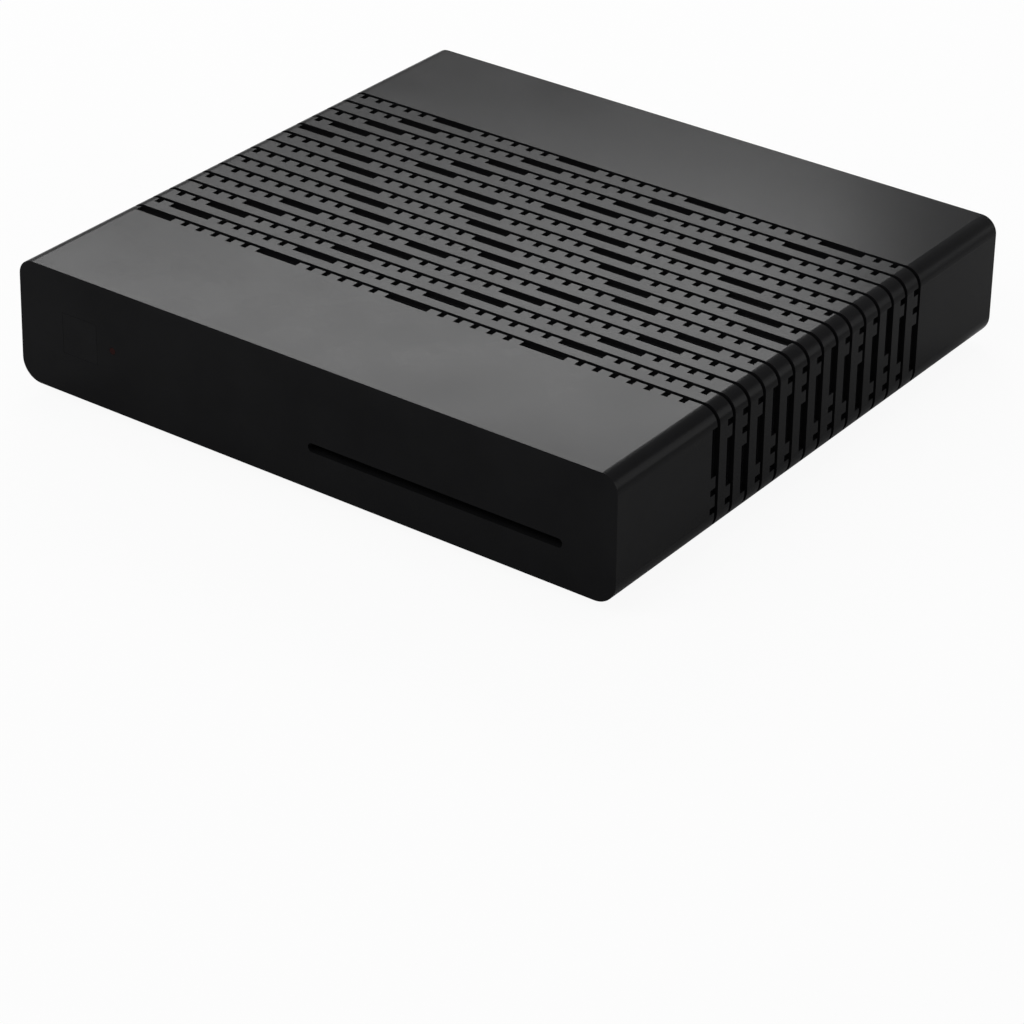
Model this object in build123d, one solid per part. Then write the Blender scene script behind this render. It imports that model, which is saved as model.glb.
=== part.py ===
from build123d import *
from math import radians, sqrt, tan
import os

# Satellite television receiver: a flat moulded case on a pressed sheet tray, with sockets, switch and board.
# Frame: X across the width, Y from the front (-) to the sockets (+), Z up, millimetres.
# The origin is the middle of the footprint, on the surface that the feet stand on.

# ------------------------------------------------------------------ case
case_width = 156.0
case_depth = 147.0
case_height = 29.0
side_draft = 1.0            # degrees that each side leans inwards
top_radius = 3.9
bottom_radius = 5.0
cover_wall = 2.2
front_wall = 2.4
rear_wall = 1.6
cheek_width = 11.6          # moulded part of the rear, each side of the metal panel
top_lip = 3.0               # moulded part of the rear, above the metal panel
window_radius = 1.5
front_sill = 6.0            # moulded strip under the front wall
bottom_gap = 0.5            # above the inner face of the cover's lower edges
seam = 0.2                  # gap between pieces that lie edge to edge

# ------------------------------------------------------------------ grille moulded into the cover
row_count = 15
row_pitch = 5.6
first_row = 33.2            # from the rear edge to the middle of the first groove
groove_width = 1.05
groove_depth = 1.2
slot_reach = 2.3            # from the middle of a groove to the far side of its slots
tooth_depth = 1.6
tooth_length = 1.5
slot_gap = 2.72
dash_length = 11.1
teeth_between = 5
first_dash = 26.2           # from the left edge to the first dash of the first row
return_dash = 18.5          # the same, for the first row that steps the other way
dash_step = 5.75            # shift of the dashes from row to row
rows_per_leg = 5
side_first = 3.75           # from the top face down to the first slot on a side
side_legs = 2               # most teeth above the dash on a side

# ------------------------------------------------------------------ sheet tray, feet and screws
sheet = 1.0
bend_radius = 0.8           # inside
panel_overlap = 1.2         # how far the rear panel runs behind each cheek
panel_fold = 4.0            # lower edge of the rear panel, folded forwards
joggle = 1.2                # length over which the tray steps up onto that fold
boss_depth = 1.1            # embossed under each foot
boss_flat = 5.2
boss_radius = 6.7
foot_radius = 4.5
foot_height = 1.2
foot_side_inset = 8.9       # from the sides of the tray's opening
foot_inset = 14.0           # from the front and rear of the case
foot_chamfer = 0.25
case_screw_inset = 5.4      # from the sides of the tray's opening
case_screw_radius = 1.5
pilot_depth = 12.0
cover_boss_radius = 3.2
cover_boss_gap = 1.5        # to the parts on the board
screw_clearance = 0.2
screw_head_radius = 2.9
screw_head_height = 1.1
recess_share = 0.55         # half length of the cross, of the head's radius
recess_slot = 0.65
case_screw_length = 9.0

# ------------------------------------------------------------------ main board
board_level = 7.6           # top of the board above the underside of the case
board_thickness = 1.6
board_side_gap = 2.4        # from the sides of the tray's opening
board_front_gap = 2.6       # from the front wall
board_rear_gap = 0.5        # from the rear panel
stud_radius = 2.6
board_screw_radius = 1.25
board_screw_length = 4.6
stud_shares = [(-0.72, -0.83), (0.86, -0.02), (-0.875, 0.27), (0.34, 0.435)]    # of the board's half sides

# ------------------------------------------------------------------ front
card_slot_share = 0.498     # places across the front are shares of the half width of the tray's opening
card_slot_level = 9.8
card_slot_length = 63.8
card_slot_height = 2.1
eye_share = -0.918
lamp_from_eye = 9.2
front_parts_level = 14.6
eye_side = 9.5
eye_flange = 1.2            # flange behind the wall, round the eye
eye_flange_thickness = 0.9
lamp_radius = 0.75
lamp_inset = 11.0           # from the front wall back to the lamp on the board
lamp_size = (2.0, 1.4, 0.9)
lamp_gap = 0.1
pipe_bend = 3.0
receiver_width, receiver_height, receiver_depth = 5.8, 6.8, 2.7
lens_radius, lens_out = 2.2, 1.0
lead_pitch, lead_width = 1.9, 0.5
press_gap = 0.05

# ------------------------------------------------------------------ sockets
# Places along the rear panel are shares of its half width.
# A socket's rise is the share of the free height, board to panel top, that is under it.
antenna_share, antenna_rise = 0.843, 0.4
antenna_reach = 14.0        # from the panel to the tip
antenna_radius = 4.76
antenna_neck_radius = 4.6   # from the flange to the end of the flat
antenna_tip_radius = 4.1
antenna_chamfer = 1.1
antenna_bore = 2.95
antenna_bore_depth = 11.0
antenna_recess = 1.0
antenna_contact_radius = 0.9
antenna_pin_hole = 0.5
antenna_pin_depth = 8.0
antenna_contact_drop = 0.3  # tube behind the insulator's face
antenna_flat_half = 2.4     # half the height of the milled flat
antenna_flat_length = 4.0   # from the nut outwards
antenna_flange_radius = 6.0
antenna_flange = 1.6
nut_across_flats = 11.1
nut_height = 2.4
nut_turn = 11.0             # degrees that the nut happens to stand at
nut_crown = 0.35            # taken off the nut's corners
washer_radius = 7.3
washer_height = 0.8

av_share, av_rise = 0.566, 0.01
av_nose_radius = 2.7
av_bore_radius = 1.8
av_bore_depth = 13.5
av_body_width, av_body_height, av_body_depth = 7.0, 6.0, 12.0
av_nose_out = 0.4

hdmi_share, hdmi_rise = 0.306, 0.0775
hdmi_width, hdmi_height = 15.0, 5.45
hdmi_depth = 12.0
hdmi_wall = 0.4
hdmi_cutout_gap = 0.4
hdmi_shoulder = 2.1         # height of the slanted corners
hdmi_foot_width = 10.3
hdmi_radius = 0.7
hdmi_lip = 0.15             # flare of the mouth
hdmi_notch = 6.0            # break in the flare, along the top
hdmi_tongue_width, hdmi_tongue_height, hdmi_tongue_depth = 10.1, 1.1, 9.0

lan_share, lan_rise = 0.018, 0.13
lan_width, lan_height, lan_depth = 15.4, 13.6, 21.0
lan_cutout_gap = 0.65
lan_metal = 0.35
lan_mouth_width, lan_mouth_height, lan_mouth_low = 12.7, 7.6, 2.85
lan_step_width, lan_step_height = 7.35, 1.75
lan_latch_width, lan_latch_height = 4.35, 0.75
lan_mouth_depth = 14.0
lan_lamp_width, lan_lamp_height = 2.4, 1.4
lan_lamp_offset, lan_lamp_level = 5.6, 11.85    # from the middle, and from the bottom of the jack
lan_contact_pitch, lan_contact_width, lan_contact_count = 1.02, 0.4, 8
lan_corner = 0.6
lan_lamp_depth = 3.4
lan_contact_inset = 5.0     # from the panel to the front of the contacts
lan_contact_rise = 4.4      # from the floor of the mouth to the back of the contacts
spring_wire = 0.4           # thickness of the contacts

usb_share, usb_rise = -0.262, 0.43
usb_inner_width, usb_inner_height, usb_bar = 12.5, 5.1, 3.6
usb_inset = 2.0             # from the panel to the rims of the mouths
usb_metal = 0.3
usb_fold = 0.55             # outer radius of the folds of the strip between the mouths
usb_depth = 17.5
usb_tongue_width, usb_tongue_height, usb_tongue_depth = 10.6, 1.8, 9.0
usb_tongue_drop = 1.3       # from the top of a mouth to its tongue
usb_root_depth = 5.0
usb_cutout_side = 0.15
usb_cutout_gap = 0.2        # above and below the mouths
usb_relief = 0.5            # radius of the rounds punched at the corners of the cut-out

phone_share, phone_rise = -0.512, 0.109
phone_width, phone_height, phone_depth = 12.4, 15.1, 16.0
phone_mouth_width, phone_mouth_height, phone_mouth_low = 10.1, 7.5, 3.3
phone_step_width, phone_step_height = 7.3, 1.7
phone_latch_width, phone_latch_height = 4.4, 1.9
phone_mouth_depth = 12.0
phone_corner = 0.6          # of the opening in the panel
phone_contact_inset = 3.2
phone_contact_rise = 4.4
phone_foot, phone_foot_inset = 1.6, 4.0    # feet on the board
phone_contact_pitch, phone_contact_width, phone_contact_count = 1.02, 0.45, 6

dc_share, dc_rise = -0.723, 0.075
dc_width, dc_height, dc_depth = 8.7, 11.0, 13.5
dc_hole_rise = 1.3          # hole above the middle of the housing
dc_hole_radius = 2.95
dc_hole_chamfer = 0.3
dc_hole_depth = 9.5
dc_pin_radius = 1.0
dc_pin_length = 8.5
dc_cutout_gap = 0.55
dc_foot_width, dc_foot_front, dc_foot_lap = 6.0, 4.0, 0.3    # foot on the board
dc_pin_round = 0.45
dc_leaf, dc_leaf_length, dc_leaf_turn = 0.3, 6.5, -12.0

cutout_gap = 0.35           # panel to socket, each side
shell_tab = 3.0             # width of the tabs that hold a metal shell on the board
tab_inset = 5.0             # from the back of a shell to its tabs

# ------------------------------------------------------------------ rocker switch
switch_share = -0.908
bezel_drop = 0.4            # from the moulded lip above
bezel_width, bezel_height, bezel_out = 10.5, 15.5, 1.8
bezel_rim = 0.45            # flat rim round the opening
switch_body_width, switch_body_height, switch_body_depth = 8.8, 12.8, 10.0
rocker_width = 5.9
rocker_radius = 5.2         # pivot to the ends of the rocker
rocker_face = 2.2           # pivot to the ends of the face
rocker_back = 2.4
rocker_round = 0.7          # along the ends of the face
rocker_dish_radius = 26.0
rocker_swing = 24.0         # degrees from one rest position to the other
rocker_gap = 0.35           # rocker to the opening
pivot_out = 0.45            # pivot in front of the panel
pivot_radius = 1.0
pivot_clearance = 0.06
pivot_length = 0.9
switch_back = 1.5           # wall behind the rocker
tab_width, tab_thickness, tab_pitch = 3.0, 0.8, 5.0
tab_reach, tab_step = 2.5, 3.0

# ------------------------------------------------------------------ parts on the board
# Places on the board are shares of its half sides, from its middle.
tuner_width, tuner_depth, tuner_height = 19.0, 30.0, 15.6
tuner_metal = 0.4
tuner_divider = 2.0         # dividing wall, from the middle of the can
tuner_skirt = 3.0           # how far the lid laps the can
processor_share, processor_side, processor_height = (-0.08, 0.08), 23.0, 2.0
sink_side, sink_base, sink_height, sink_fins, sink_fin = 32.0, 2.0, 9.0, 8, 1.2
memory_shares, memory_size = [(0.44, 0.21), (0.44, -0.02)], (9.0, 13.3, 1.2)
flash_shares, flash_size = [(-0.53, 0.05)], (12.0, 18.4, 1.2)
regulator_shares = [(-0.81, 0.54), (-0.6, 0.46), (-0.44, 0.46)]
regulator_size = (6.2, 5.0, 1.6)
transformer_shares, transformer_size = [(0.015, 0.52)], (15.0, 11.0, 5.6)
coil_shares = [(-0.81, 0.41), (-0.6, 0.3), (0.56, 0.41)]
coil_side, coil_height, coil_corner = 7.3, 4.2, 1.4
capacitor_shares = [(-0.69, 0.6), (-0.81, 0.16), (-0.69, 0.16), (0.56, 0.57)]
capacitor_radius, capacitor_height, capacitor_edge = 3.15, 9.0, 0.5
crystal_share, crystal_length, crystal_width, crystal_height = (0.3, 0.35), 11.0, 4.6, 3.5
reader_width, reader_length, reader_height = 60.0, 52.0, 4.8
reader_back, reader_window_width, reader_window = 3.0, 24.0, (14.0, 38.0)
card_width, card_gap = 54.4, 1.1
card_contact_width, card_contact_length, card_contact_height = 1.2, 3.0, 0.3
card_contact_pitch, card_contact_row, card_contact_y = 2.54, 3.8, 24.0

# ------------------------------------------------------------------ places that follow from the sizes
panel_gap = 0.1             # rear panel to the cheeks
foot_drop = boss_depth + foot_height
total_depth = case_depth + antenna_reach - rear_wall - panel_gap
front_y = -total_depth / 2
rear_y = front_y + case_depth
middle_y = (front_y + rear_y) / 2
base_z = foot_drop
top_z = base_z + case_height
panel_y = rear_y - rear_wall - panel_gap    # outer face of the rear panel
inner_y = panel_y - sheet                   # inner face of the rear panel
tray_z = base_z + sheet                     # upper face of the tray's floor
board_z = base_z + board_level              # upper face of the board
window_half = case_width / 2 - cheek_width
board_half_width = window_half - board_side_gap
foot_x = window_half - foot_side_inset
card_slot_x = window_half * card_slot_share
eye_x = window_half * eye_share
lamp_x = eye_x + lamp_from_eye
antenna_x, av_x, hdmi_x = window_half * antenna_share, window_half * av_share, window_half * hdmi_share
lan_x, usb_x, phone_x = window_half * lan_share, window_half * usb_share, window_half * phone_share
dc_x, switch_x = window_half * dc_share, window_half * switch_share
switch_level = case_height - top_lip - bezel_drop - bezel_height / 2
lean = case_height * tan(radians(side_draft))
reader_y = front_y + front_wall + 0.4       # front of the card reader
tuner_y = inner_y - antenna_flange - 2 * seam - tuner_metal - tuner_depth / 2
boss_reach = cover_boss_radius + cover_boss_gap
case_screw_ys = (reader_y + reader_length + boss_reach, tuner_y - tuner_depth / 2 - tuner_metal - boss_reach)
case_screw_places = [(side * (window_half - case_screw_inset), y) for side in (-1, 1) for y in case_screw_ys]
slot_z = base_z + card_slot_level
front_parts_z = base_z + front_parts_level
usb_width = usb_inner_width + 2 * usb_metal
usb_height = 2 * (usb_inner_height + usb_metal) + usb_bar


def socket_level(rise, height):
    """Level of a socket's middle above the underside of the case."""
    free = case_height - cover_wall - seam - board_level - height
    return board_level + rise * free + height / 2


antenna_level = socket_level(antenna_rise, 2 * antenna_flange_radius)
av_level = socket_level(av_rise, 2 * av_nose_radius)
hdmi_level = socket_level(hdmi_rise, hdmi_height)
lan_level = socket_level(lan_rise, lan_height)
usb_level = socket_level(usb_rise, usb_height)
phone_level = socket_level(phone_rise, phone_height)
dc_level = socket_level(dc_rise, dc_height)


# ------------------------------------------------------------------ working aids
def along_y(outline, near, far):
    """Prism of an outline drawn as seen from the front (x right, z up), from y = near to y = far."""
    return extrude(Plane((0, far, 0), x_dir=(1, 0, 0), z_dir=(0, -1, 0)) * outline, far - near)


def along_z(outline, low, high):
    """Prism of a plan outline, from z = low to z = high."""
    return extrude(Plane.XY.offset(low) * outline, high - low)


def along_x(outline, left, right):
    """Prism of an outline drawn as seen from the right (y right, z up), from x = left to x = right."""
    return extrude(Plane.YZ.offset(left) * outline, right - left)


def block(x0, x1, y0, y1, z0, z1):
    """Box between two corners."""
    return Pos((x0 + x1) / 2, (y0 + y1) / 2, (z0 + z1) / 2) * Box(x1 - x0, y1 - y0, z1 - z0)


def rod_y(x, z, radius, near, far):
    """Round bar along Y."""
    return along_y(Pos(x, z) * Circle(radius), near, far)


def on_board(outline, height):
    """Prism that stands on the main board."""
    return along_z(outline, board_z, board_z + height)


def board_spot(share):
    """Plan position from shares of the board's half sides."""
    return Pos(share[0] * board_half_width, middle_y + share[1] * case_depth / 2)


def screw(radius, length, head_radius, head_height):
    """Pan head screw with a cross recess, head up, underside of the head at z = 0."""
    head = Cylinder(head_radius, head_height, align=(Align.CENTER, Align.CENTER, Align.MIN))
    head = fillet(head.edges().sort_by(Axis.Z)[-1], head_height * 0.6)
    arm = 2 * recess_share * head_radius
    cross = Rectangle(arm, recess_slot) + Rectangle(recess_slot, arm)
    head -= along_z(cross, head_height * 0.35, head_height + 1)
    shank = Pos(0, 0, -length) * Cylinder(radius, length, align=(Align.CENTER, Align.CENTER, Align.MIN))
    return head + shank


# ------------------------------------------------------------------ cover with its grille
def case_outline(inset=0.0):
    """The case seen from the front, with each wall moved inwards by inset."""
    half = case_width / 2
    corners = [(-half, base_z), (half, base_z), (half - lean, top_z), (lean - half, top_z)]
    outline = make_face(Polyline(*corners, close=True))
    outline = fillet(outline.vertices().group_by(Axis.Y)[0], bottom_radius)
    outline = fillet(outline.vertices().group_by(Axis.Y)[-1], top_radius)
    return offset(outline, -inset) if inset else outline


def slots(first, low, high):
    """Slots of one row as (start, end, is_dash): teeth up to the first dash, then dashes and teeth."""
    pitch = tooth_length + slot_gap
    for tooth in range(1, int(first / pitch) + 1):
        yield first - tooth * pitch, first - tooth * pitch + tooth_length, False
    near = first
    while near < high:
        if near + dash_length < high + tooth_length:
            yield max(near, low), min(near + dash_length, high), True
            near += dash_length + slot_gap
        for tooth in range(teeth_between):
            yield near, near + tooth_length, False
            near += pitch


def dash_start(row):
    """Where the dashes of a row begin: the rows step to the left, then to the right, and so on."""
    leg, place = divmod(row, rows_per_leg)
    return first_dash - place * dash_step if leg % 2 == 0 else return_dash + place * dash_step


def side_slots(row, depth):
    """Slots of one row on a side, as distances below the top face."""
    tooth_pitch = tooth_length + slot_gap
    teeth_above = abs(side_legs - row % (2 * side_legs))
    dash = side_first + teeth_above * tooth_pitch
    for tooth in range(teeth_above):
        yield side_first + tooth * tooth_pitch, side_first + tooth * tooth_pitch + tooth_length, False
    yield dash, dash + dash_length, True
    near = dash + dash_length + slot_gap
    while near + tooth_length < depth:
        yield near, near + tooth_length, False
        near += tooth_pitch


def grille():
    """Everything that the grille takes out of the cover, row by row."""
    ring = case_outline(-1.0) - case_outline(groove_depth)
    ring -= Pos(0, base_z) * Rectangle(2 * case_width, bottom_radius)
    left = -case_width / 2
    flat = lean + top_radius
    limit_low, limit_high = flat + left, -left - flat
    cuts = []
    for row in range(row_count):
        y = rear_y - first_row - row * row_pitch
        cuts.append(along_y(ring, y - groove_width / 2, y + groove_width / 2))
        for start, end, is_dash in slots(dash_start(row), flat, case_width - flat):
            x0, x1 = left + start, left + end
            if limit_low <= x0 and x1 <= limit_high:
                depth = 2 * cover_wall if is_dash else tooth_depth
                cuts.append(block(x0, x1, y - slot_reach, y, top_z - depth, top_z + 1))
        for down, end, is_dash in side_slots(row, case_height - bottom_radius):
            depth = 2 * cover_wall if is_dash else tooth_depth
            wall_x = case_width / 2 - (case_height - down) * tan(radians(side_draft))
            for side in (-1, 1):
                x0, x1 = sorted((side * (wall_x - depth), side * (case_width / 2 + 1)))
                cuts.append(block(x0, x1, y - slot_reach, y, top_z - end, top_z - down))
    return cuts


def top_cover():
    """One moulding: top, sides that curl under, front wall, rear cheeks and screw bosses."""
    shell = along_y(case_outline(), front_y, rear_y)
    hollow = along_y(case_outline(cover_wall), front_y + front_wall, rear_y - rear_wall)
    window = Rectangle(2 * window_half, case_height - top_lip + 1)
    window = Pos(0, (base_z - 1 + top_z - top_lip) / 2) * window
    window = fillet(window.vertices().group_by(Axis.Y)[-1], window_radius)
    shell = shell - hollow - along_y(window, rear_y - rear_wall - 1, rear_y + 1)
    open_top = base_z + cover_wall + bottom_gap
    shell -= block(-window_half, window_half, front_y + front_sill, rear_y + 1, base_z - 1, open_top)
    for x, y in case_screw_places:
        spot = Pos(x, y)
        shell += along_z(spot * Circle(cover_boss_radius), tray_z, top_z - cover_wall / 2)
        shell -= along_z(spot * Circle(case_screw_radius), tray_z, tray_z + pilot_depth)
    slot = Pos(card_slot_x, slot_z) * SlotOverall(card_slot_length, card_slot_height)
    shell -= along_y(slot, front_y - 1, front_y + front_wall + 1)
    side = eye_side + 2 * press_gap
    shell -= along_y(Pos(eye_x, front_parts_z) * Rectangle(side, side), front_y - 1, front_y + front_wall + 1)
    shell -= rod_y(lamp_x, front_parts_z, lamp_radius + press_gap, front_y - 1, front_y + front_wall + 1)
    return shell.cut(*grille())


# ------------------------------------------------------------------ tray, feet and screws
def foot_places():
    """Plan positions of the feet."""
    return [(sx * foot_x, middle_y + sy * (case_depth / 2 - foot_inset)) for sx in (-1, 1) for sy in (-1, 1)]


def lan_cutout_outline():
    gap = 2 * lan_cutout_gap
    return RectangleRounded(lan_width + gap, lan_height + gap, lan_corner)


def socket_cutouts():
    """Outlines of the openings in the rear panel, seen from the front."""
    gap = 2 * cutout_gap
    yield Pos(antenna_x, base_z + antenna_level) * Circle(antenna_neck_radius + screw_clearance)
    yield Pos(av_x, base_z + av_level) * Circle(av_nose_radius + screw_clearance)
    yield Pos(hdmi_x, base_z + hdmi_level) * offset(hdmi_outline(), hdmi_cutout_gap)
    yield Pos(lan_x, base_z + lan_level) * lan_cutout_outline()
    width = usb_inner_width + 2 * (usb_metal + usb_cutout_side)
    height = usb_height + 2 * usb_cutout_gap
    opening = Rectangle(width, height)
    for sx in (-1, 1):
        for sz in (-1, 1):
            opening += Pos(sx * width / 2, sz * height / 2) * Circle(usb_relief)
    yield Pos(usb_x, base_z + usb_level) * opening
    opening = RectangleRounded(phone_width + gap, phone_height + gap, phone_corner)
    yield Pos(phone_x, base_z + phone_level) * opening
    gap = 2 * dc_cutout_gap
    yield Pos(dc_x, base_z + dc_level) * RectangleRounded(dc_width + gap, dc_height + gap, dc_cutout_gap)
    gap = 2 * seam
    yield Pos(switch_x, base_z + switch_level) * Rectangle(switch_body_width + gap, switch_body_height + gap)


def rear_panel():
    """Stamped panel with the socket openings, folded forwards along its lower edge."""
    low, high = base_z, top_z - cover_wall - seam
    side = Pos(panel_y - panel_fold / 2, (low + high) / 2) * Rectangle(panel_fold, high - low)
    outer = fillet(side.vertices().group_by(Axis.Y)[0].sort_by(Axis.X)[-1], bend_radius + sheet)
    inner = fillet(side.vertices().group_by(Axis.Y)[0].sort_by(Axis.X)[-1], bend_radius)
    inner = Pos(-sheet, sheet) * inner
    half = window_half - seam
    panel = along_x(outer - inner, -half, half)
    wing_low = base_z + cover_wall + bottom_gap
    wide = Pos(0, (wing_low + high) / 2) * Rectangle(2 * (window_half + panel_overlap), high - wing_low)
    panel += along_y(wide, inner_y, panel_y)
    for cutout in socket_cutouts():
        panel -= along_y(cutout, inner_y - 1, panel_y + 1)
    return panel


def tray_outline():
    """Tray seen from the right: flat, then stepped up onto the fold of the rear panel."""
    start, step = front_y + front_sill + seam, panel_y - panel_fold - seam
    end = inner_y - bend_radius - seam
    lower = [(start, base_z), (step - joggle, base_z), (step, tray_z), (end, tray_z)]
    bend = sheet * tan(radians(20))
    upper = [(end, tray_z + sheet), (step - bend, tray_z + sheet)]
    upper += [(step - joggle - bend, tray_z), (start, tray_z)]
    return make_face(Polyline(*lower, *upper, close=True))


def chassis_tray():
    """Pressed sheet tray with embossed feet and studs for the board."""
    half = window_half - seam
    tray = along_x(tray_outline(), -half, half)
    for x, y in foot_places():
        tray += Pos(x, y, base_z - boss_depth / 2) * Cone(boss_flat, boss_radius, boss_depth)
        hollow = Cone(boss_flat - sheet / 2, boss_radius - sheet / 2, boss_depth)
        tray -= Pos(x, y, tray_z - boss_depth / 2) * hollow
    for share in stud_shares:
        spot = board_spot(share)
        tray += along_z(spot * Circle(stud_radius), tray_z - sheet / 2, board_z - board_thickness)
        tray -= along_z(spot * Circle(board_screw_radius), tray_z, board_z)
    for x, y in case_screw_places:
        tray -= along_z(Pos(x, y) * Circle(case_screw_radius + screw_clearance), base_z - 1, tray_z + 1)
    return tray


def rubber_feet():
    """Four moulded discs stuck under the bosses."""
    disc = Cylinder(foot_radius, foot_height, align=(Align.CENTER, Align.CENTER, Align.MIN))
    disc = chamfer(disc.edges().sort_by(Axis.Z)[0], foot_chamfer)
    return Compound([Pos(x, y, 0) * disc for x, y in foot_places()])


def case_screws():
    """Four screws from below, through the tray into the cover's bosses."""
    one = screw(case_screw_radius - 0.1, case_screw_length, screw_head_radius, screw_head_height)
    one = Rot(180, 0, 0) * one
    return Compound([Pos(x, y, base_z) * one for x, y in case_screw_places])


# ------------------------------------------------------------------ front
def infrared_window():
    """Dark square let into the front wall, with a flange behind it."""
    front = Pos(eye_x, front_parts_z) * Rectangle(eye_side, eye_side)
    side = eye_side + 2 * eye_flange
    flange = Pos(eye_x, front_parts_z) * Rectangle(side, side)
    wall_y = front_y + front_wall
    return along_y(front, front_y, wall_y) + along_y(flange, wall_y, wall_y + eye_flange_thickness)


def infrared_receiver():
    """Receiver with its domed lens, on three leads."""
    y = front_y + front_wall + eye_flange_thickness + lens_out + seam
    outline = Pos(eye_x, front_parts_z) * Rectangle(receiver_width, receiver_height)
    body = along_y(outline, y, y + receiver_depth)
    dome = Pos(eye_x, y, front_parts_z) * Sphere(lens_radius)
    body += dome & along_y(outline, y - lens_out, y + lens_out)
    for pin in (-1, 0, 1):
        x = eye_x + pin * lead_pitch
        near, half = y + receiver_depth / 2, lead_width / 2
        body += block(x - half, x + half, near, near + lead_width, board_z, front_parts_z)
    return body


def light_pipe():
    """Clear rod that bends from the lamp on the board to the front wall."""
    y = front_y + lamp_inset
    foot, corner = (lamp_x, y, board_z + lamp_size[2] + lamp_gap), (lamp_x, y, front_parts_z)
    path = FilletPolyline(foot, corner, (lamp_x, front_y, front_parts_z), radius=pipe_bend)
    return sweep(Plane(foot) * Circle(lamp_radius), path=path)


def standby_lamp():
    """Small surface-mounted lamp under the light pipe."""
    width, depth, height = lamp_size
    return on_board(Pos(lamp_x, front_y + lamp_inset) * Rectangle(width, depth), height)


# ------------------------------------------------------------------ aerial socket
def antenna_spot(near, far, radius):
    return rod_y(antenna_x, base_z + antenna_level, radius, panel_y + near, panel_y + far)


def antenna_barrel():
    """Turned barrel with a flange inside the panel, a milled flat and a hollow mouth."""
    nut_end = washer_height + nut_height
    flat_end = nut_end + antenna_flat_length
    barrel = antenna_spot(flat_end, antenna_reach, antenna_radius)
    tip = barrel.edges().group_by(Axis.Y)[-1]
    barrel = chamfer(tip, antenna_chamfer, antenna_radius - antenna_tip_radius)
    barrel += antenna_spot(-sheet, flat_end, antenna_neck_radius)
    barrel += antenna_spot(-sheet - antenna_flange, -sheet, antenna_flange_radius)
    barrel -= antenna_spot(antenna_reach - antenna_bore_depth, antenna_reach + 1, antenna_bore)
    x = antenna_x - sqrt(antenna_neck_radius ** 2 - antenna_flat_half ** 2)
    z = base_z + antenna_level
    return barrel - block(
        x - antenna_radius, x, panel_y + nut_end, panel_y + flat_end, z - antenna_radius, z + antenna_radius,
    )


def antenna_insulator():
    """Plug of plastic in the barrel's mouth."""
    seat = antenna_reach - antenna_bore_depth
    plug = antenna_spot(seat, antenna_reach - antenna_recess, antenna_bore)
    return plug - antenna_spot(seat - 1, antenna_reach, antenna_contact_radius)


def antenna_contact():
    """Spring tube that takes the cable's centre wire."""
    face = antenna_reach - antenna_recess
    seat = antenna_reach - antenna_bore_depth
    tube = antenna_spot(seat, face - antenna_contact_drop, antenna_contact_radius)
    return tube - antenna_spot(face - antenna_pin_depth, antenna_reach, antenna_pin_hole)


def antenna_nut():
    """Hexagon nut with chamfered corners."""
    hexagon = RegularPolygon(nut_across_flats / 2, 6, major_radius=False)
    low, high = panel_y + washer_height, panel_y + washer_height + nut_height
    nut = along_y(Pos(antenna_x, base_z + antenna_level) * (Rot(0, 0, nut_turn) * hexagon), low, high)
    crown = Plane((antenna_x, low, base_z + antenna_level), x_dir=(1, 0, 0), z_dir=(0, 1, 0))
    corner = nut_across_flats / sqrt(3)
    seat = (Align.CENTER, Align.CENTER, Align.MIN)
    rounding = crown * Cone(corner + nut_height, corner - nut_crown, nut_height, align=seat)
    return (nut & rounding) - antenna_spot(-1, antenna_reach, antenna_neck_radius + press_gap)


def antenna_washer():
    """Flat washer between the nut and the panel."""
    ring = antenna_spot(0, washer_height, washer_radius)
    ring -= antenna_spot(-1, 2, antenna_neck_radius + press_gap)
    return chamfer(ring.edges().group_by(Axis.Y)[-1].sort_by(SortBy.LENGTH)[-1], 0.25)


# ------------------------------------------------------------------ small sockets
def av_jack():
    """Round nose through the panel on a box body, bored for the plug."""
    centre_z = base_z + av_level
    body = Pos(av_x, (centre_z + av_body_height / 2 + board_z) / 2)
    body = body * Rectangle(av_body_width, centre_z + av_body_height / 2 - board_z)
    jack = along_y(body, inner_y - seam - av_body_depth, inner_y - seam)
    jack += rod_y(av_x, centre_z, av_nose_radius, inner_y - 2 * seam, panel_y + av_nose_out)
    jack = chamfer(jack.edges().group_by(Axis.Y)[-1], 0.2)
    return jack - rod_y(av_x, centre_z, av_bore_radius, panel_y + av_nose_out - av_bore_depth, panel_y + 1)


def board_tab(x, metal, back, high):
    """Tab in the plane of a shell's side, down to the board."""
    near = back + tab_inset
    return block(x - metal / 2, x + metal / 2, near, near + shell_tab, board_z, high)


def hdmi_outline():
    """Flat top, slanted lower corners."""
    half, foot, high = hdmi_width / 2, hdmi_foot_width / 2, hdmi_height / 2
    points = [(-half, high), (half, high), (half, hdmi_shoulder - high), (foot, -high), (-foot, -high)]
    points.append((-half, hdmi_shoulder - high))
    return fillet(make_face(Polyline(*points, close=True)).vertices(), hdmi_radius)


def hdmi_shell():
    """Folded metal sleeve with a flared mouth and two feet on the board."""
    spot = Pos(hdmi_x, base_z + hdmi_level)
    back = inner_y - hdmi_depth
    outline = hdmi_outline()
    sleeve = along_y(spot * outline, back, panel_y)
    sleeve -= along_y(spot * offset(outline, -hdmi_wall), back - 1, panel_y + 1)
    flare = offset(outline, hdmi_lip) - offset(outline, -hdmi_wall / 2)
    flare -= Pos(0, hdmi_height / 2 + hdmi_lip) * Rectangle(hdmi_notch, 3 * hdmi_lip)
    sleeve += along_y(spot * flare, panel_y - hdmi_lip, panel_y + seam)
    middle = base_z + hdmi_level
    for side in (-1, 1):
        x = hdmi_x + side * (hdmi_width - hdmi_wall) / 2
        sleeve += board_tab(x, hdmi_wall, back, middle)
    return sleeve


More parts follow.
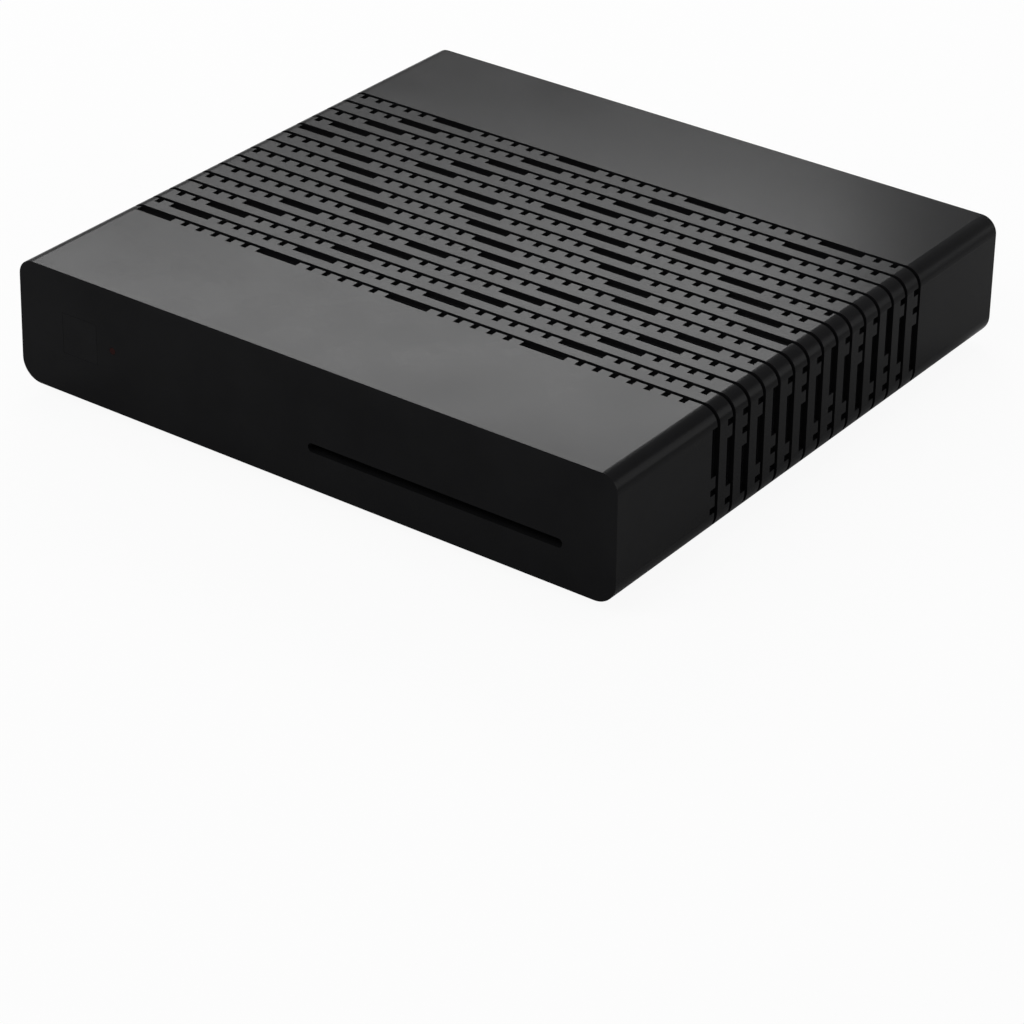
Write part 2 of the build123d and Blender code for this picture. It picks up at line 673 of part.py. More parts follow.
def hdmi_insert():
    """Plastic back wall that carries the contact tongue."""
    spot = Pos(hdmi_x, base_z + hdmi_level)
    back = inner_y - hdmi_depth
    core = along_y(spot * offset(hdmi_outline(), -hdmi_wall), back, back + 3)
    tongue = RectangleRounded(hdmi_tongue_width, hdmi_tongue_height, 0.3)
    return core + along_y(spot * tongue, back + 2, back + 3 + hdmi_tongue_depth)


def jack_mouth(width, height, low, step, latch, full_height):
    """Mouth of a modular jack, with its stepped latch notch, drawn about the middle of the jack."""
    base = low - full_height / 2
    mouth = Pos(0, base + height / 2) * Rectangle(width, height)
    tall = height + step[1]
    mouth += Pos(0, base + tall / 2) * Rectangle(step[0], tall)
    tall += latch[1]
    return mouth + Pos(0, base + tall / 2) * Rectangle(latch[0], tall)


def lan_mouth():
    step, latch = (lan_step_width, lan_step_height), (lan_latch_width, lan_latch_height)
    return jack_mouth(lan_mouth_width, lan_mouth_height, lan_mouth_low, step, latch, lan_height)


def lan_lamp_outlines():
    """The two lamp windows in the upper corners."""
    level = lan_lamp_level - lan_height / 2
    lamp = Rectangle(lan_lamp_width, lan_lamp_height)
    return [Pos(side * lan_lamp_offset, level) * lamp for side in (-1, 1)]


def lan_shield():
    """Plated sheet box round the network jack, open below, with feet on the board."""
    spot = Pos(lan_x, base_z + lan_level)
    back = panel_y - lan_depth
    outline = RectangleRounded(lan_width, lan_height, lan_corner)
    box = along_y(spot * outline, back, panel_y)
    box -= along_y(spot * offset(outline, -lan_metal), back + lan_metal, panel_y - lan_metal)
    box -= along_y(spot * lan_mouth(), panel_y - 1, panel_y + 1)
    for lamp in lan_lamp_outlines():
        box -= along_y(spot * lamp, panel_y - 1, panel_y + 1)
    middle = base_z + lan_level
    for side in (-1, 1):
        box += board_tab(lan_x + side * (lan_width - lan_metal) / 2, lan_metal, back, middle)
    return box


def lan_insert():
    """Plastic body of the network jack."""
    spot = Pos(lan_x, base_z + lan_level)
    gap = lan_metal + press_gap
    outline = offset(RectangleRounded(lan_width, lan_height, lan_corner), -gap)
    body = along_y(spot * outline, panel_y - lan_depth + gap, panel_y - gap)
    body -= along_y(spot * lan_mouth(), panel_y - lan_mouth_depth, panel_y + 1)
    for lamp in lan_lamp_outlines():
        body -= along_y(spot * lamp, panel_y - lan_lamp_depth - press_gap, panel_y + 1)
    return body


def spring_contacts(x, low, rise, wires, back, front):
    """Row of spring wires on the floor of a modular jack, rising towards the back."""
    pitch, width, count = wires
    foot, top = low + press_gap, low + press_gap + spring_wire
    points = [(back, low + rise - spring_wire), (back, low + rise), (front, top), (front + spring_wire, top)]
    points += [(front + spring_wire, foot), (front - spring_wire / 2, foot)]
    side_view = make_face(Polyline(*points, close=True))
    places = [x + (k - (count - 1) / 2) * pitch for k in range(count)]
    return Compound([along_x(side_view, place - width / 2, place + width / 2) for place in places])


def lan_contacts():
    low = base_z + lan_level - lan_height / 2 + lan_mouth_low
    back, front = panel_y - lan_mouth_depth + seam, panel_y - lan_contact_inset
    wires = lan_contact_pitch, lan_contact_width, lan_contact_count
    return spring_contacts(lan_x, low, lan_contact_rise, wires, back, front)


def lan_lamps():
    """Light pipes behind the lamp windows."""
    spot = Pos(lan_x, base_z + lan_level)
    return Compound([
        along_y(spot * offset(lamp, -press_gap), panel_y - lan_lamp_depth, panel_y - 2 * press_gap)
        for lamp in lan_lamp_outlines()
    ])


def usb_mouths():
    """The two mouths, one above the other, drawn about the middle of the stack."""
    rise = (usb_inner_height + usb_bar) / 2
    return [Pos(0, side * rise) * Rectangle(usb_inner_width, usb_inner_height) for side in (-1, 1)]


def usb_shell():
    """Sheet box with two mouths, behind the panel."""
    spot = Pos(usb_x, base_z + usb_level)
    front, back = panel_y - usb_inset, inner_y - seam - usb_depth
    box = along_y(spot * Rectangle(usb_width, usb_height), back, front)
    for mouth in usb_mouths():
        box -= along_y(spot * mouth, back + usb_metal, front + 1)
    between = Rectangle(usb_inner_width, usb_bar - 2 * usb_metal)
    box -= along_y(spot * between, back + usb_metal, front - usb_metal)
    middle = base_z + usb_level
    for side in (-1, 1):
        box += board_tab(usb_x + side * (usb_width - usb_metal) / 2, usb_metal, back, middle)
    return box


def usb_bridge():
    """Bent strip between the two mouths, with rounded folds, from the shell to the panel's face."""
    spot = Pos(usb_x, base_z + usb_level)
    near, far = panel_y - usb_inset, panel_y - seam
    strip = along_y(spot * Rectangle(usb_inner_width - seam, usb_bar), near, far)
    strip = fillet(strip.edges().filter_by(Axis.X).group_by(Axis.Y)[-1], usb_fold)
    hollow = Rectangle(usb_inner_width, usb_bar - 2 * usb_metal)
    return strip - along_y(spot * hollow, near - 1, far - usb_metal)


def usb_tongues():
    """Plastic tongues that carry the contacts, one in each mouth."""
    back = inner_y - seam - usb_depth + usb_metal
    solids = []
    for side in (-1, 1):
        middle = base_z + usb_level + side * (usb_inner_height + usb_bar) / 2
        root = Pos(usb_x, middle) * Rectangle(usb_inner_width, usb_inner_height)
        top = middle + usb_inner_height / 2 - usb_tongue_drop
        tongue = Pos(usb_x, top - usb_tongue_height / 2) * Rectangle(usb_tongue_width, usb_tongue_height)
        face = back + usb_root_depth
        solids.append(along_y(root, back, face) + along_y(tongue, face - seam, face + usb_tongue_depth))
    return Compound(solids)


def phone_jack():
    """Plastic housing of the six-way modular jack, down to the board."""
    spot = Pos(phone_x, base_z + phone_level)
    body = along_y(spot * RectangleRounded(phone_width, phone_height, 0.4), panel_y - phone_depth, panel_y)
    step, latch = (phone_step_width, phone_step_height), (phone_latch_width, phone_latch_height)
    mouth = jack_mouth(phone_mouth_width, phone_mouth_height, phone_mouth_low, step, latch, phone_height)
    body -= along_y(spot * mouth, panel_y - phone_mouth_depth, panel_y + 1)
    top = base_z + phone_level - phone_height / 2 + phone_foot
    half = phone_foot / 2
    for side in (-1, 1):
        x = phone_x + side * (phone_width / 2 - phone_foot)
        near = panel_y - phone_depth + phone_foot_inset
        body += block(x - half, x + half, near, near + phone_foot, board_z, top)
    return body


def phone_contacts():
    low = base_z + phone_level - phone_height / 2 + phone_mouth_low
    back, front = panel_y - phone_mouth_depth + seam, panel_y - phone_contact_inset
    wires = phone_contact_pitch, phone_contact_width, phone_contact_count
    return spring_contacts(phone_x, low, phone_contact_rise, wires, back, front)


def dc_jack():
    """Moulded power inlet with a round mouth, down to the board."""
    spot = Pos(dc_x, base_z + dc_level)
    front = panel_y - seam
    body = along_y(spot * RectangleRounded(dc_width, dc_height, 0.3), front - dc_depth, front)
    hole_z = base_z + dc_level + dc_hole_rise
    body -= rod_y(dc_x, hole_z, dc_hole_radius, front - dc_hole_depth, front + 1)
    rim = body.edges().filter_by(GeomType.CIRCLE).group_by(Axis.Y)[-1].sort_by(SortBy.LENGTH)[-1]
    body = chamfer(rim, dc_hole_chamfer)
    top = base_z + dc_level - dc_height / 2 + dc_foot_lap
    half = dc_foot_width / 2
    return body + block(dc_x - half, dc_x + half, front - dc_depth, front - dc_foot_front, board_z, top)


def dc_pin():
    """Round centre pin of the power inlet."""
    front = panel_y - seam
    hole_z = base_z + dc_level + dc_hole_rise
    start = front - dc_hole_depth
    pin = rod_y(dc_x, hole_z, dc_pin_radius, start, start + dc_pin_length)
    return fillet(pin.edges().group_by(Axis.Y)[-1], dc_pin_round)


def dc_spring():
    """Curved contact leaf that presses on the side of the plug."""
    hole_z = base_z + dc_level + dc_hole_rise
    radius = dc_hole_radius - 2 * press_gap
    leaf = Circle(radius) - Circle(radius - dc_leaf)
    leaf &= Rot(0, 0, dc_leaf_turn) * (Pos(radius, 0) * Rectangle(radius, 1.2 * radius))
    start = panel_y - seam - dc_hole_depth
    return along_y(Pos(dc_x, hole_z) * leaf, start, start + dc_leaf_length)


# ------------------------------------------------------------------ rocker switch
def switch_opening():
    """Mouth that the rocker swings in."""
    return Rectangle(rocker_width + 2 * rocker_gap, 2 * (rocker_radius + rocker_gap / 2))


def pivot_axis():
    return panel_y + pivot_out, base_z + switch_level


def switch_housing():
    """Snap-in body with a raised, bevelled bezel and two pivot holes."""
    spot = Pos(switch_x, base_z + switch_level)
    rim_height = 2 * (rocker_radius + rocker_gap / 2 + bezel_rim)
    rim = Rectangle(rocker_width + 2 * (rocker_gap + bezel_rim), rim_height)
    outer = Plane((0, panel_y, 0), x_dir=(1, 0, 0), z_dir=(0, -1, 0))
    raised = Plane((0, panel_y + bezel_out, 0), x_dir=(1, 0, 0), z_dir=(0, -1, 0))
    base = outer * (spot * Rectangle(bezel_width, bezel_height))
    bezel = loft([base.faces()[0], (raised * (spot * rim)).faces()[0]])
    back = inner_y - switch_body_depth
    housing = bezel + along_y(spot * Rectangle(switch_body_width, switch_body_height), back, panel_y)
    housing -= along_y(spot * switch_opening(), back + switch_back, panel_y + bezel_out + 1)
    y, z = pivot_axis()
    half = rocker_width / 2 + rocker_gap + pivot_length + seam
    hole = along_x(Pos(y, z) * Circle(pivot_radius + pivot_clearance), switch_x - half, switch_x + half)
    return housing - hole


def switch_rocker():
    """Rocker with a dished face and round pivots, at rest with its upper end out."""
    profile = Circle(rocker_radius)
    thickness = rocker_face + rocker_back
    profile &= Pos(rocker_face - thickness / 2, 0) * Rectangle(thickness, 3 * rocker_radius)
    half = sqrt(rocker_radius ** 2 - rocker_face ** 2)
    dish_centre = rocker_face + sqrt(rocker_dish_radius ** 2 - half ** 2)
    profile -= Pos(dish_centre, 0) * Circle(rocker_dish_radius)
    rocker = along_x(profile, -rocker_width / 2, rocker_width / 2)
    ends = rocker.edges().filter_by(Axis.X).group_by(Axis.Y)[-1]
    rocker = fillet(ends, rocker_round)
    reach = rocker_width / 2 + rocker_gap + pivot_length
    rocker += along_x(Circle(pivot_radius), -reach, reach)
    y, z = pivot_axis()
    return Pos(switch_x, y, z) * (Rot(-rocker_swing / 2, 0, 0) * rocker)


def switch_tabs():
    """Two bent tabs from the back of the switch down to the board."""
    back = inner_y - switch_body_depth
    level = base_z + switch_level
    solids = []
    for side in (-1, 1):
        z = level + side * tab_pitch / 2
        reach = back - tab_reach - (tab_step if side > 0 else 0)
        x0, x1, top = switch_x - tab_width / 2, switch_x + tab_width / 2, z + tab_thickness / 2
        bar = block(x0, x1, reach, back, top - tab_thickness, top)
        leg = block(x0, x1, reach, reach + tab_thickness, board_z, top)
        solids.append(bar + leg)
    return Compound(solids)


# ------------------------------------------------------------------ board and the parts on it
def main_board():
    """Printed circuit board, notched round the cover's bosses."""
    back, front = inner_y - board_rear_gap, front_y + front_wall + board_front_gap
    outline = Pos(0, (front + back) / 2) * RectangleRounded(2 * board_half_width, back - front, 2.0)
    for x, y in case_screw_places:
        outline -= Pos(x, y) * Circle(cover_boss_radius + 1.0)
    for share in stud_shares:
        outline -= board_spot(share) * Circle(board_screw_radius + screw_clearance)
    return along_z(outline, board_z - board_thickness, board_z)


def board_screws():
    """Screws that hold the board on the tray's studs."""
    one = screw(board_screw_radius - press_gap, board_screw_length, screw_head_radius - 0.4, 1.6)
    return Compound([board_spot(share) * Pos(0, 0, board_z) * one for share in stud_shares])


def tuner_place():
    """Plan centre of the tuner's screening can."""
    return antenna_x - 0.3, tuner_y


def tuner_frame():
    """Walls of the screening can, with a dividing wall."""
    x, y = tuner_place()
    wall = 2 * tuner_metal
    outline = Rectangle(tuner_width, tuner_depth) - Rectangle(tuner_width - wall, tuner_depth - wall)
    outline += Pos(0, tuner_divider) * Rectangle(tuner_width, tuner_metal)
    return on_board(Pos(x, y) * outline, tuner_height)


def tuner_lid():
    """Lid that clips over the screening can."""
    x, y = tuner_place()
    edge = tuner_metal + press_gap
    lid = Rectangle(tuner_width + 2 * edge, tuner_depth + 2 * edge)
    skirt = lid - Rectangle(tuner_width + 2 * press_gap, tuner_depth + 2 * press_gap)
    top = board_z + tuner_height
    cover = along_z(Pos(x, y) * lid, top, top + tuner_metal)
    return cover + along_z(Pos(x, y) * skirt, top - tuner_skirt, top + tuner_metal)


def packages(shares, size):
    """Flat packages of one size (width, depth, height)."""
    width, depth, height = size
    return Compound([on_board(board_spot(share) * Rectangle(width, depth), height) for share in shares])


def processor():
    return on_board(board_spot(processor_share) * Rectangle(processor_side, processor_side), processor_height)


def heat_sink():
    """Extruded fins on the processor."""
    spot = board_spot(processor_share)
    z = board_z + processor_height
    sink = along_z(spot * Rectangle(sink_side, sink_side), z, z + sink_base)
    step = (sink_side - sink_fin) / (sink_fins - 1)
    for k in range(sink_fins):
        fin = Pos(sink_fin / 2 - sink_side / 2 + k * step, 0) * Rectangle(sink_fin, sink_side)
        sink += along_z(spot * fin, z + sink_base / 2, z + sink_height)
    return sink


def memory_chips():
    return packages(memory_shares, memory_size)


def flash_chip():
    return packages(flash_shares, flash_size)


def regulators():
    return packages(regulator_shares, regulator_size)


def network_transformer():
    return packages(transformer_shares, transformer_size)


def power_coils():
    """Screened coils of the voltage converters."""
    coil = RectangleRounded(coil_side, coil_side, coil_corner)
    return Compound([on_board(board_spot(share) * coil, coil_height) for share in coil_shares])


def capacitors():
    """Electrolytic capacitors with a rolled-in top edge."""
    can = Cylinder(capacitor_radius, capacitor_height, align=(Align.CENTER, Align.CENTER, Align.MIN))
    can = fillet(can.edges().sort_by(Axis.Z)[-1], capacitor_edge)
    return Compound([board_spot(share) * Pos(0, 0, board_z) * can for share in capacitor_shares])


def crystal():
    return on_board(board_spot(crystal_share) * SlotOverall(crystal_length, crystal_width), crystal_height)


def card_reader():
    """Plastic frame with a channel for the card, open to the front."""
    x, half, low = card_slot_x, card_width / 2, slot_z - card_gap / 2
    body = Pos(x, reader_y + reader_length / 2) * Rectangle(reader_width, reader_length)
    reader = on_board(body, reader_height)
    end = reader_y + reader_length - reader_back
    reader -= block(x - half, x + half, reader_y - 1, end, low, low + card_gap)
    near, far = reader_window
    half = reader_window_width / 2
    top = board_z + reader_height + 1
    return reader - block(x - half, x + half, reader_y + near, reader_y + far, slot_z, top)


def card_contacts():
    """Eight sprung contacts under the card's pad, in two rows."""
    low = slot_z - card_gap / 2
    pad = Rectangle(card_contact_width, card_contact_length)
    solids = []
    for row in (-1, 1):
        for k in range(4):
            x = card_slot_x + (k - 1.5) * card_contact_pitch
            y = reader_y + card_contact_y + row * card_contact_row
            solids.append(along_z(Pos(x, y) * pad, low, low + card_contact_height))
    return Compound(solids)


nodes = [
    top_cover, infrared_window, light_pipe, rear_panel, chassis_tray, rubber_feet, case_screws,
    antenna_barrel, antenna_insulator, antenna_contact, antenna_nut, antenna_washer,
    av_jack, hdmi_shell, hdmi_insert, lan_shield, lan_insert, lan_contacts, lan_lamps,
    usb_shell, usb_bridge, usb_tongues, phone_jack, phone_contacts, dc_jack, dc_pin, dc_spring,
    switch_housing, switch_rocker, switch_tabs,
    main_board, board_screws, tuner_frame, tuner_lid, processor, heat_sink, memory_chips, flash_chip,
    regulators, network_transformer, power_coils, capacitors, crystal, card_reader, card_contacts,
    infrared_receiver, standby_lamp,
]

os.makedirs("parts", exist_ok=True)
for make in nodes:
    export_step(make(), f"parts/{make.__name__}.step")
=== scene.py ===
import bpy
import numpy as np
from math import cos, radians, sin
from mathutils import Matrix, Vector


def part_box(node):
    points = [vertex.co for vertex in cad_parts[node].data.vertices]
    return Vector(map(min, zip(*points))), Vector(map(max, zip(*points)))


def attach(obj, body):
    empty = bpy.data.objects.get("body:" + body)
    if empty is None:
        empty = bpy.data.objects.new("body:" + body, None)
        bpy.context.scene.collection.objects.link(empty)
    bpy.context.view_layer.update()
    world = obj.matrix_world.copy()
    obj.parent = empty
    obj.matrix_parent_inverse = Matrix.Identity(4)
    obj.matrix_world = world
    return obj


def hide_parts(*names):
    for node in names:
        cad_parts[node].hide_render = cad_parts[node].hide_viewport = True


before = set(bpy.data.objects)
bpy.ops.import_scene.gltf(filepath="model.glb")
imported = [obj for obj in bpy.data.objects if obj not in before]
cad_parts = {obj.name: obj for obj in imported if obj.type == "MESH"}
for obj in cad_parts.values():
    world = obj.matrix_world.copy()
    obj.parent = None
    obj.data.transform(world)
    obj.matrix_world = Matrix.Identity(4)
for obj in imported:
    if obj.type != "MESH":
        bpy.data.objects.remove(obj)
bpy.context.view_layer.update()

mm = 0.001  # the settings are in millimetres, unless they say otherwise
print("stage 1: frame loaded")


# ---- camera ----
cameraSettings = {
    "lens": 125.95,            # focal length
    "sensor": 36.0,            # its width
    "clip": (0.01, 50.0),      # metres
    "azimuth": 35.388,         # degrees, as are elevation and roll
    "elevation": 30.143,
    "roll": 1.341,
    "offset": (-0.367, -34.386, 790.177),  # right, up and back from the aim
    "aim": (0.0, -6.15, 2.3),
}


def viewAxes(azimuth, elevation, roll):
    # right, up and back of an observer who stands at that azimuth and elevation
    a, e, r = radians(azimuth), radians(elevation), radians(roll)
    back = Vector((sin(a) * cos(e), -cos(a) * cos(e), sin(e)))
    right = Vector((0, 0, 1)).cross(back).normalized()
    up = back.cross(right)
    return right * cos(r) + up * sin(r), up * cos(r) - right * sin(r), back


def placeCamera(settings):
    axes = viewAxes(settings["azimuth"], settings["elevation"], settings["roll"])
    place = Vector(settings["aim"]) * mm
    for axis, amount in zip(axes, settings["offset"]):
        place += axis * amount * mm
    data = bpy.data.cameras.new("studioCamera")
    data.lens, data.sensor_width, data.sensor_fit = settings["lens"], settings["sensor"], "HORIZONTAL"
    data.clip_start, data.clip_end = settings["clip"]
    camera = bpy.data.objects.new("studioCamera", data)
    turn = Matrix([[axis[k] for axis in axes] for k in range(3)]).to_4x4()
    camera.matrix_world = Matrix.Translation(place) @ turn
    bpy.context.scene.collection.objects.link(camera)
    bpy.context.scene.camera = camera


placeCamera(cameraSettings)
print("stage 2: camera")


# ---- material helpers ----
wholeSpan = (0.0, 1.0)
noiseSpan = (0.3, 0.7)         # a noise hardly leaves this span
shadeSpan = (0.32, 0.68)       # a little narrower, for more contrast


def hexToLinear(text):
    # sRGB hex to linear light
    values = [int(text[k:k + 2], 16) / 255 for k in (1, 3, 5)]
    return tuple(v / 12.92 if v <= 0.04045 else ((v + 0.055) / 1.055) ** 2.4 for v in values) + (1.0,)


def addNode(tree, kind, values=None, links=None, **settings):
    # one node: its settings, the values on its sockets, and the outputs that feed them
    node = tree.nodes.new(kind)
    for key, value in settings.items():
        setattr(node, key, value)
    for key, value in (values or {}).items():
        node.inputs[key].default_value = value
    for key, source in (links or {}).items():
        tree.links.new(source.outputs[0] if hasattr(source, "outputs") else source, node.inputs[key])
    return node


def startFinish(name):
    material = bpy.data.materials.new(name)
    material.use_nodes = True
    tree = material.node_tree
    tree.nodes.clear()
    place = addNode(tree, "ShaderNodeTexCoord")
    return material, tree, place.outputs["Object"]


def mapped(tree, value, new, old=wholeSpan):
    # a value brought from an old span to a new one, and held inside it
    ends = {1: old[0], 2: old[1], 3: new[0], 4: new[1]}
    return addNode(tree, "ShaderNodeMapRange", ends, {0: value})


def blended(tree, factor, first, second):
    # colour between two hex values
    ends = {6: hexToLinear(first), 7: hexToLinear(second)}
    return addNode(tree, "ShaderNodeMix", ends, {0: factor}, data_type="RGBA").outputs[2]


def overlaid(tree, factor, base, top):
    # a hex colour laid over the colour of an output
    return addNode(tree, "ShaderNodeMix", {7: hexToLinear(top)}, {0: factor, 6: base}, data_type="RGBA").outputs[2]


def noiseOf(tree, place, sizeMm, detail=3.0, rough=0.5, stretch=None):
    # noise whose cells are about sizeMm across; stretch draws it out along an axis
    if stretch:
        place = addNode(tree, "ShaderNodeMapping", {3: stretch}, {0: place})
    values = {"Scale": 1.0 / (sizeMm * mm), "Detail": detail, "Roughness": rough}
    return addNode(tree, "ShaderNodeTexNoise", values, {"Vector": place})


def swayed(tree, place, noise, swayMm):
    # places shifted by the colour of a noise times a length
    shift = addNode(tree, "ShaderNodeVectorMath", {1: (swayMm * mm,) * 3}, {0: noise.outputs[1]}, operation="MULTIPLY")
    return addNode(tree, "ShaderNodeVectorMath", None, {0: place, 1: shift}, operation="ADD")


def closeFinish(tree, shader, colour, roughness, bumps):
    # links colour and roughness, stacks the bumps and ends in the output; a bump is (height, depth in mm)
    tree.links.new(colour, shader.inputs["Base Color"])
    tree.links.new(roughness.outputs[0], shader.inputs["Roughness"])
    normal = None
    for height, depthMm in bumps:
        links = {"Height": height}
        if normal:
            links["Normal"] = normal
        normal = addNode(tree, "ShaderNodeBump", {"Strength": 1.0, "Distance": depthMm * mm}, links)
    if normal:
        tree.links.new(normal.outputs[0], shader.inputs["Normal"])
        if shader.inputs["Coat Weight"].default_value > 0:
            tree.links.new(normal.outputs[0], shader.inputs["Coat Normal"])
    addNode(tree, "ShaderNodeOutputMaterial", links={"Surface": shader})


def plainFinish(s):
    # two shades under one noise, roughness between two values, and a fine grain
    material, tree, place = startFinish(s["name"])
    cloud = noiseOf(tree, place, s["cloudMm"], detail=3.0, rough=0.55, stretch=s.get("stretch"))
    grain = noiseOf(tree, place, s["grainMm"], detail=2.0, rough=0.6, stretch=s.get("stretch"))
    colour = blended(tree, mapped(tree, cloud, wholeSpan, shadeSpan), s["dark"], s["light"])
    roughness = mapped(tree, cloud, s["rough"], noiseSpan)
    values = {
        "Metallic": s.get("metallic", 0.0),
        "Specular IOR Level": s.get("specular", 0.5),
        "Coat Weight": s.get("coat", 0.0),
        "Coat Roughness": 0.1,
        "Transmission Weight": s.get("clear", 0.0),
    }
    if values["Metallic"] < 1.0:
        values["IOR"] = s.get("ior", 1.5)
    shader = addNode(tree, "ShaderNodeBsdfPrincipled", values)
    closeFinish(tree, shader, colour, roughness, [(grain, s["grainDepthMm"])])
    return material


def dress(node, material):
    # gives a node or a new piece one finish
    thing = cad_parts[node] if isinstance(node, str) else node
    if not thing.data.materials:
        thing.data.materials.append(material)
    for k in range(len(thing.data.materials)):
        thing.data.materials[k] = material


# ---- cover ----
# ABS moulded against a spark-eroded tool: black, even, a soft wide highlight and a fine sand grain
coverSettings = {
    "name": "mouldedBlackABS",
    "dark": "#131314",
    "light": "#171718",
    "rough": (0.22, 0.25),
    "ior": 1.11,               # below solid ABS, because the eroded grain swallows most of the mirror-like part
    "grainMm": 0.32,           # spark-eroded grain, drawn about twice as coarse as the real one so that it shows
    "grainDepthMm": 0.006,
    "cloudMm": 18.0,           # slow unevenness of the moulding
}
dress("top_cover", plainFinish(coverSettings))

# polished dark polycarbonate that passes infrared
windowSettings = {
    "name": "polishedDarkPolycarbonate", "dark": "#141415", "light": "#181819", "rough": (0.18, 0.22),
    "ior": 1.11, "grainMm": 4.0, "grainDepthMm": 0.003, "cloudMm": 9.0,
}
dress("infrared_window", plainFinish(windowSettings))

# clear acrylic rod with a reddish tint, drawn and polished
pipeSettings = {
    "name": "polishedTintedAcrylic", "dark": "#24100f", "light": "#2c1413", "rough": (0.18, 0.24), "clear": 0.1,
    "ior": 1.11, "grainMm": 1.6, "grainDepthMm": 0.003, "cloudMm": 5.0,
}
dress("light_pipe", plainFinish(pipeSettings))


# ---- rear panel, tray, feet and screws ----
# silver lacquer sprayed on zinc-coated steel: pale, satin, a faint sparkle of flakes and slight orange peel
panelSettings = {
    "name": "silverLacquerOnSteel",
    "dark": "#c2c2c1",
    "light": "#cfcfce",
    "metallic": 0.25,
    "rough": (0.34, 0.42),
    "cloudMm": 22.0,
    "cloudShare": 0.55,        # how much cloud and flakes count in the shade
    "flakeShare": 0.45,
    "shadeSpan": (0.35, 0.65),
    "peelMm": 1.3,             # orange peel
    "peelDepthMm": 0.004,
    "flakeMm": 0.16,           # flakes, drawn coarser than the real 0.03 mm
    "flakeDepthMm": 0.0015,
}


def lacquerFinish(s):
    material, tree, place = startFinish(s["name"])
    cloud = noiseOf(tree, place, s["cloudMm"], detail=2.0)
    flake = noiseOf(tree, place, s["flakeMm"], detail=1.0)
    peel = noiseOf(tree, place, s["peelMm"], detail=1.0)
    both = addNode(tree, "ShaderNodeMath", {1: s["flakeShare"]}, {0: flake}, operation="MULTIPLY")
    both = addNode(tree, "ShaderNodeMath", {1: s["cloudShare"]}, {0: cloud, 2: both}, operation="MULTIPLY_ADD")
    colour = blended(tree, mapped(tree, both, wholeSpan, s["shadeSpan"]), s["dark"], s["light"])
    roughness = mapped(tree, cloud, s["rough"], noiseSpan)
    shader = addNode(tree, "ShaderNodeBsdfPrincipled", {"Metallic": s["metallic"]})
    closeFinish(tree, shader, colour, roughness, [(peel, s["peelDepthMm"]), (flake, s["flakeDepthMm"])])
    return material


dress("rear_panel", lacquerFinish(panelSettings))

# zinc-coated steel sheet: grey crystals about 6 mm across, each with its own shade, under faint rolling lines
spangleSettings = {
    "name": "zincCoatedSteelSheet",
    "dark": "#a3a6a9",
    "light": "#bcbfc2",
    "rough": (0.30, 0.46),
    "spangleMm": 6.0,
    "swayMm": 4.0,             # how far the crystals' borders wander
    "lineMm": 0.35,
    "lineStretch": (1.0, 0.02, 1.0),  # drawn out along the depth
    "lineDepthMm": 0.002,
}


def spangleFinish(s):
    material, tree, place = startFinish(s["name"])
    moved = swayed(tree, place, noiseOf(tree, place, s["spangleMm"], detail=2.0), s["swayMm"])
    scale = {"Scale": 1.0 / (s["spangleMm"] * mm)}
    crystal = addNode(tree, "ShaderNodeTexVoronoi", scale, {"Vector": moved}, feature="F1")
    shade = addNode(tree, "ShaderNodeSeparateColor", None, {0: crystal.outputs["Color"]})
    lines = noiseOf(tree, place, s["lineMm"], detail=2.0, stretch=s["lineStretch"])
    colour = blended(tree, shade, s["dark"], s["light"])
    roughness = mapped(tree, shade, s["rough"])
    shader = addNode(tree, "ShaderNodeBsdfPrincipled", {"Metallic": 1.0})
    closeFinish(tree, shader, colour, roughness, [(lines, s["lineDepthMm"])])
    return material


dress("chassis_tray", spangleFinish(spangleSettings))

# black moulded rubber: very matt, dusty grain
rubberSettings = {
    "name": "mouldedBlackRubber", "dark": "#131313", "light": "#1c1c1b", "rough": (0.78, 0.9), "specular": 0.35,
    "grainMm": 0.4, "grainDepthMm": 0.02, "cloudMm": 4.0,
}
dress("rubber_feet", plainFinish(rubberSettings))

# zinc-plated steel screws: satin, slightly dark
screwSettings = {
    "name": "zincPlatedScrewSteel", "dark": "#7f8286", "light": "#a2a5a8", "metallic": 1.0, "rough": (0.28, 0.42),
    "grainMm": 0.5, "grainDepthMm": 0.004, "cloudMm": 2.0,
}
screwFinish = plainFinish(screwSettings)
for node in ("case_screws", "board_screws"):
    dress(node, screwFinish)


# ---- metals of the sockets ----
# bright nickel on turned brass: warm, sharp reflections, faint turning rings
nickelSettings = {
    "name": "brightNickelPlate", "dark": "#bdb6ac", "light": "#d4cfc7", "metallic": 1.0, "rough": (0.12, 0.2),
    "grainMm": 0.5, "grainDepthMm": 0.0015, "cloudMm": 3.0,
}
nickelFinish = plainFinish(nickelSettings)
for node in ("antenna_barrel", "antenna_nut", "dc_pin", "switch_tabs"):
    dress(node, nickelFinish)

# thin nickel on drawn steel: greyer than on brass
steelSettings = dict(nickelSettings, name="nickelledDrawnSteel", dark="#86827d", light="#a8a49f", rough=(0.16, 0.26))
dress("hdmi_shell", plainFinish(steelSettings))

# blue-passivated zinc on the washer: cool, satin
washerSettings = {
    "name": "bluePassivatedZinc", "dark": "#a9b2bf", "light": "#c8ced6", "metallic": 1.0, "rough": (0.22, 0.34),
    "grainMm": 0.35, "grainDepthMm": 0.002, "cloudMm": 3.5,
}
dress("antenna_washer", plainFinish(washerSettings))

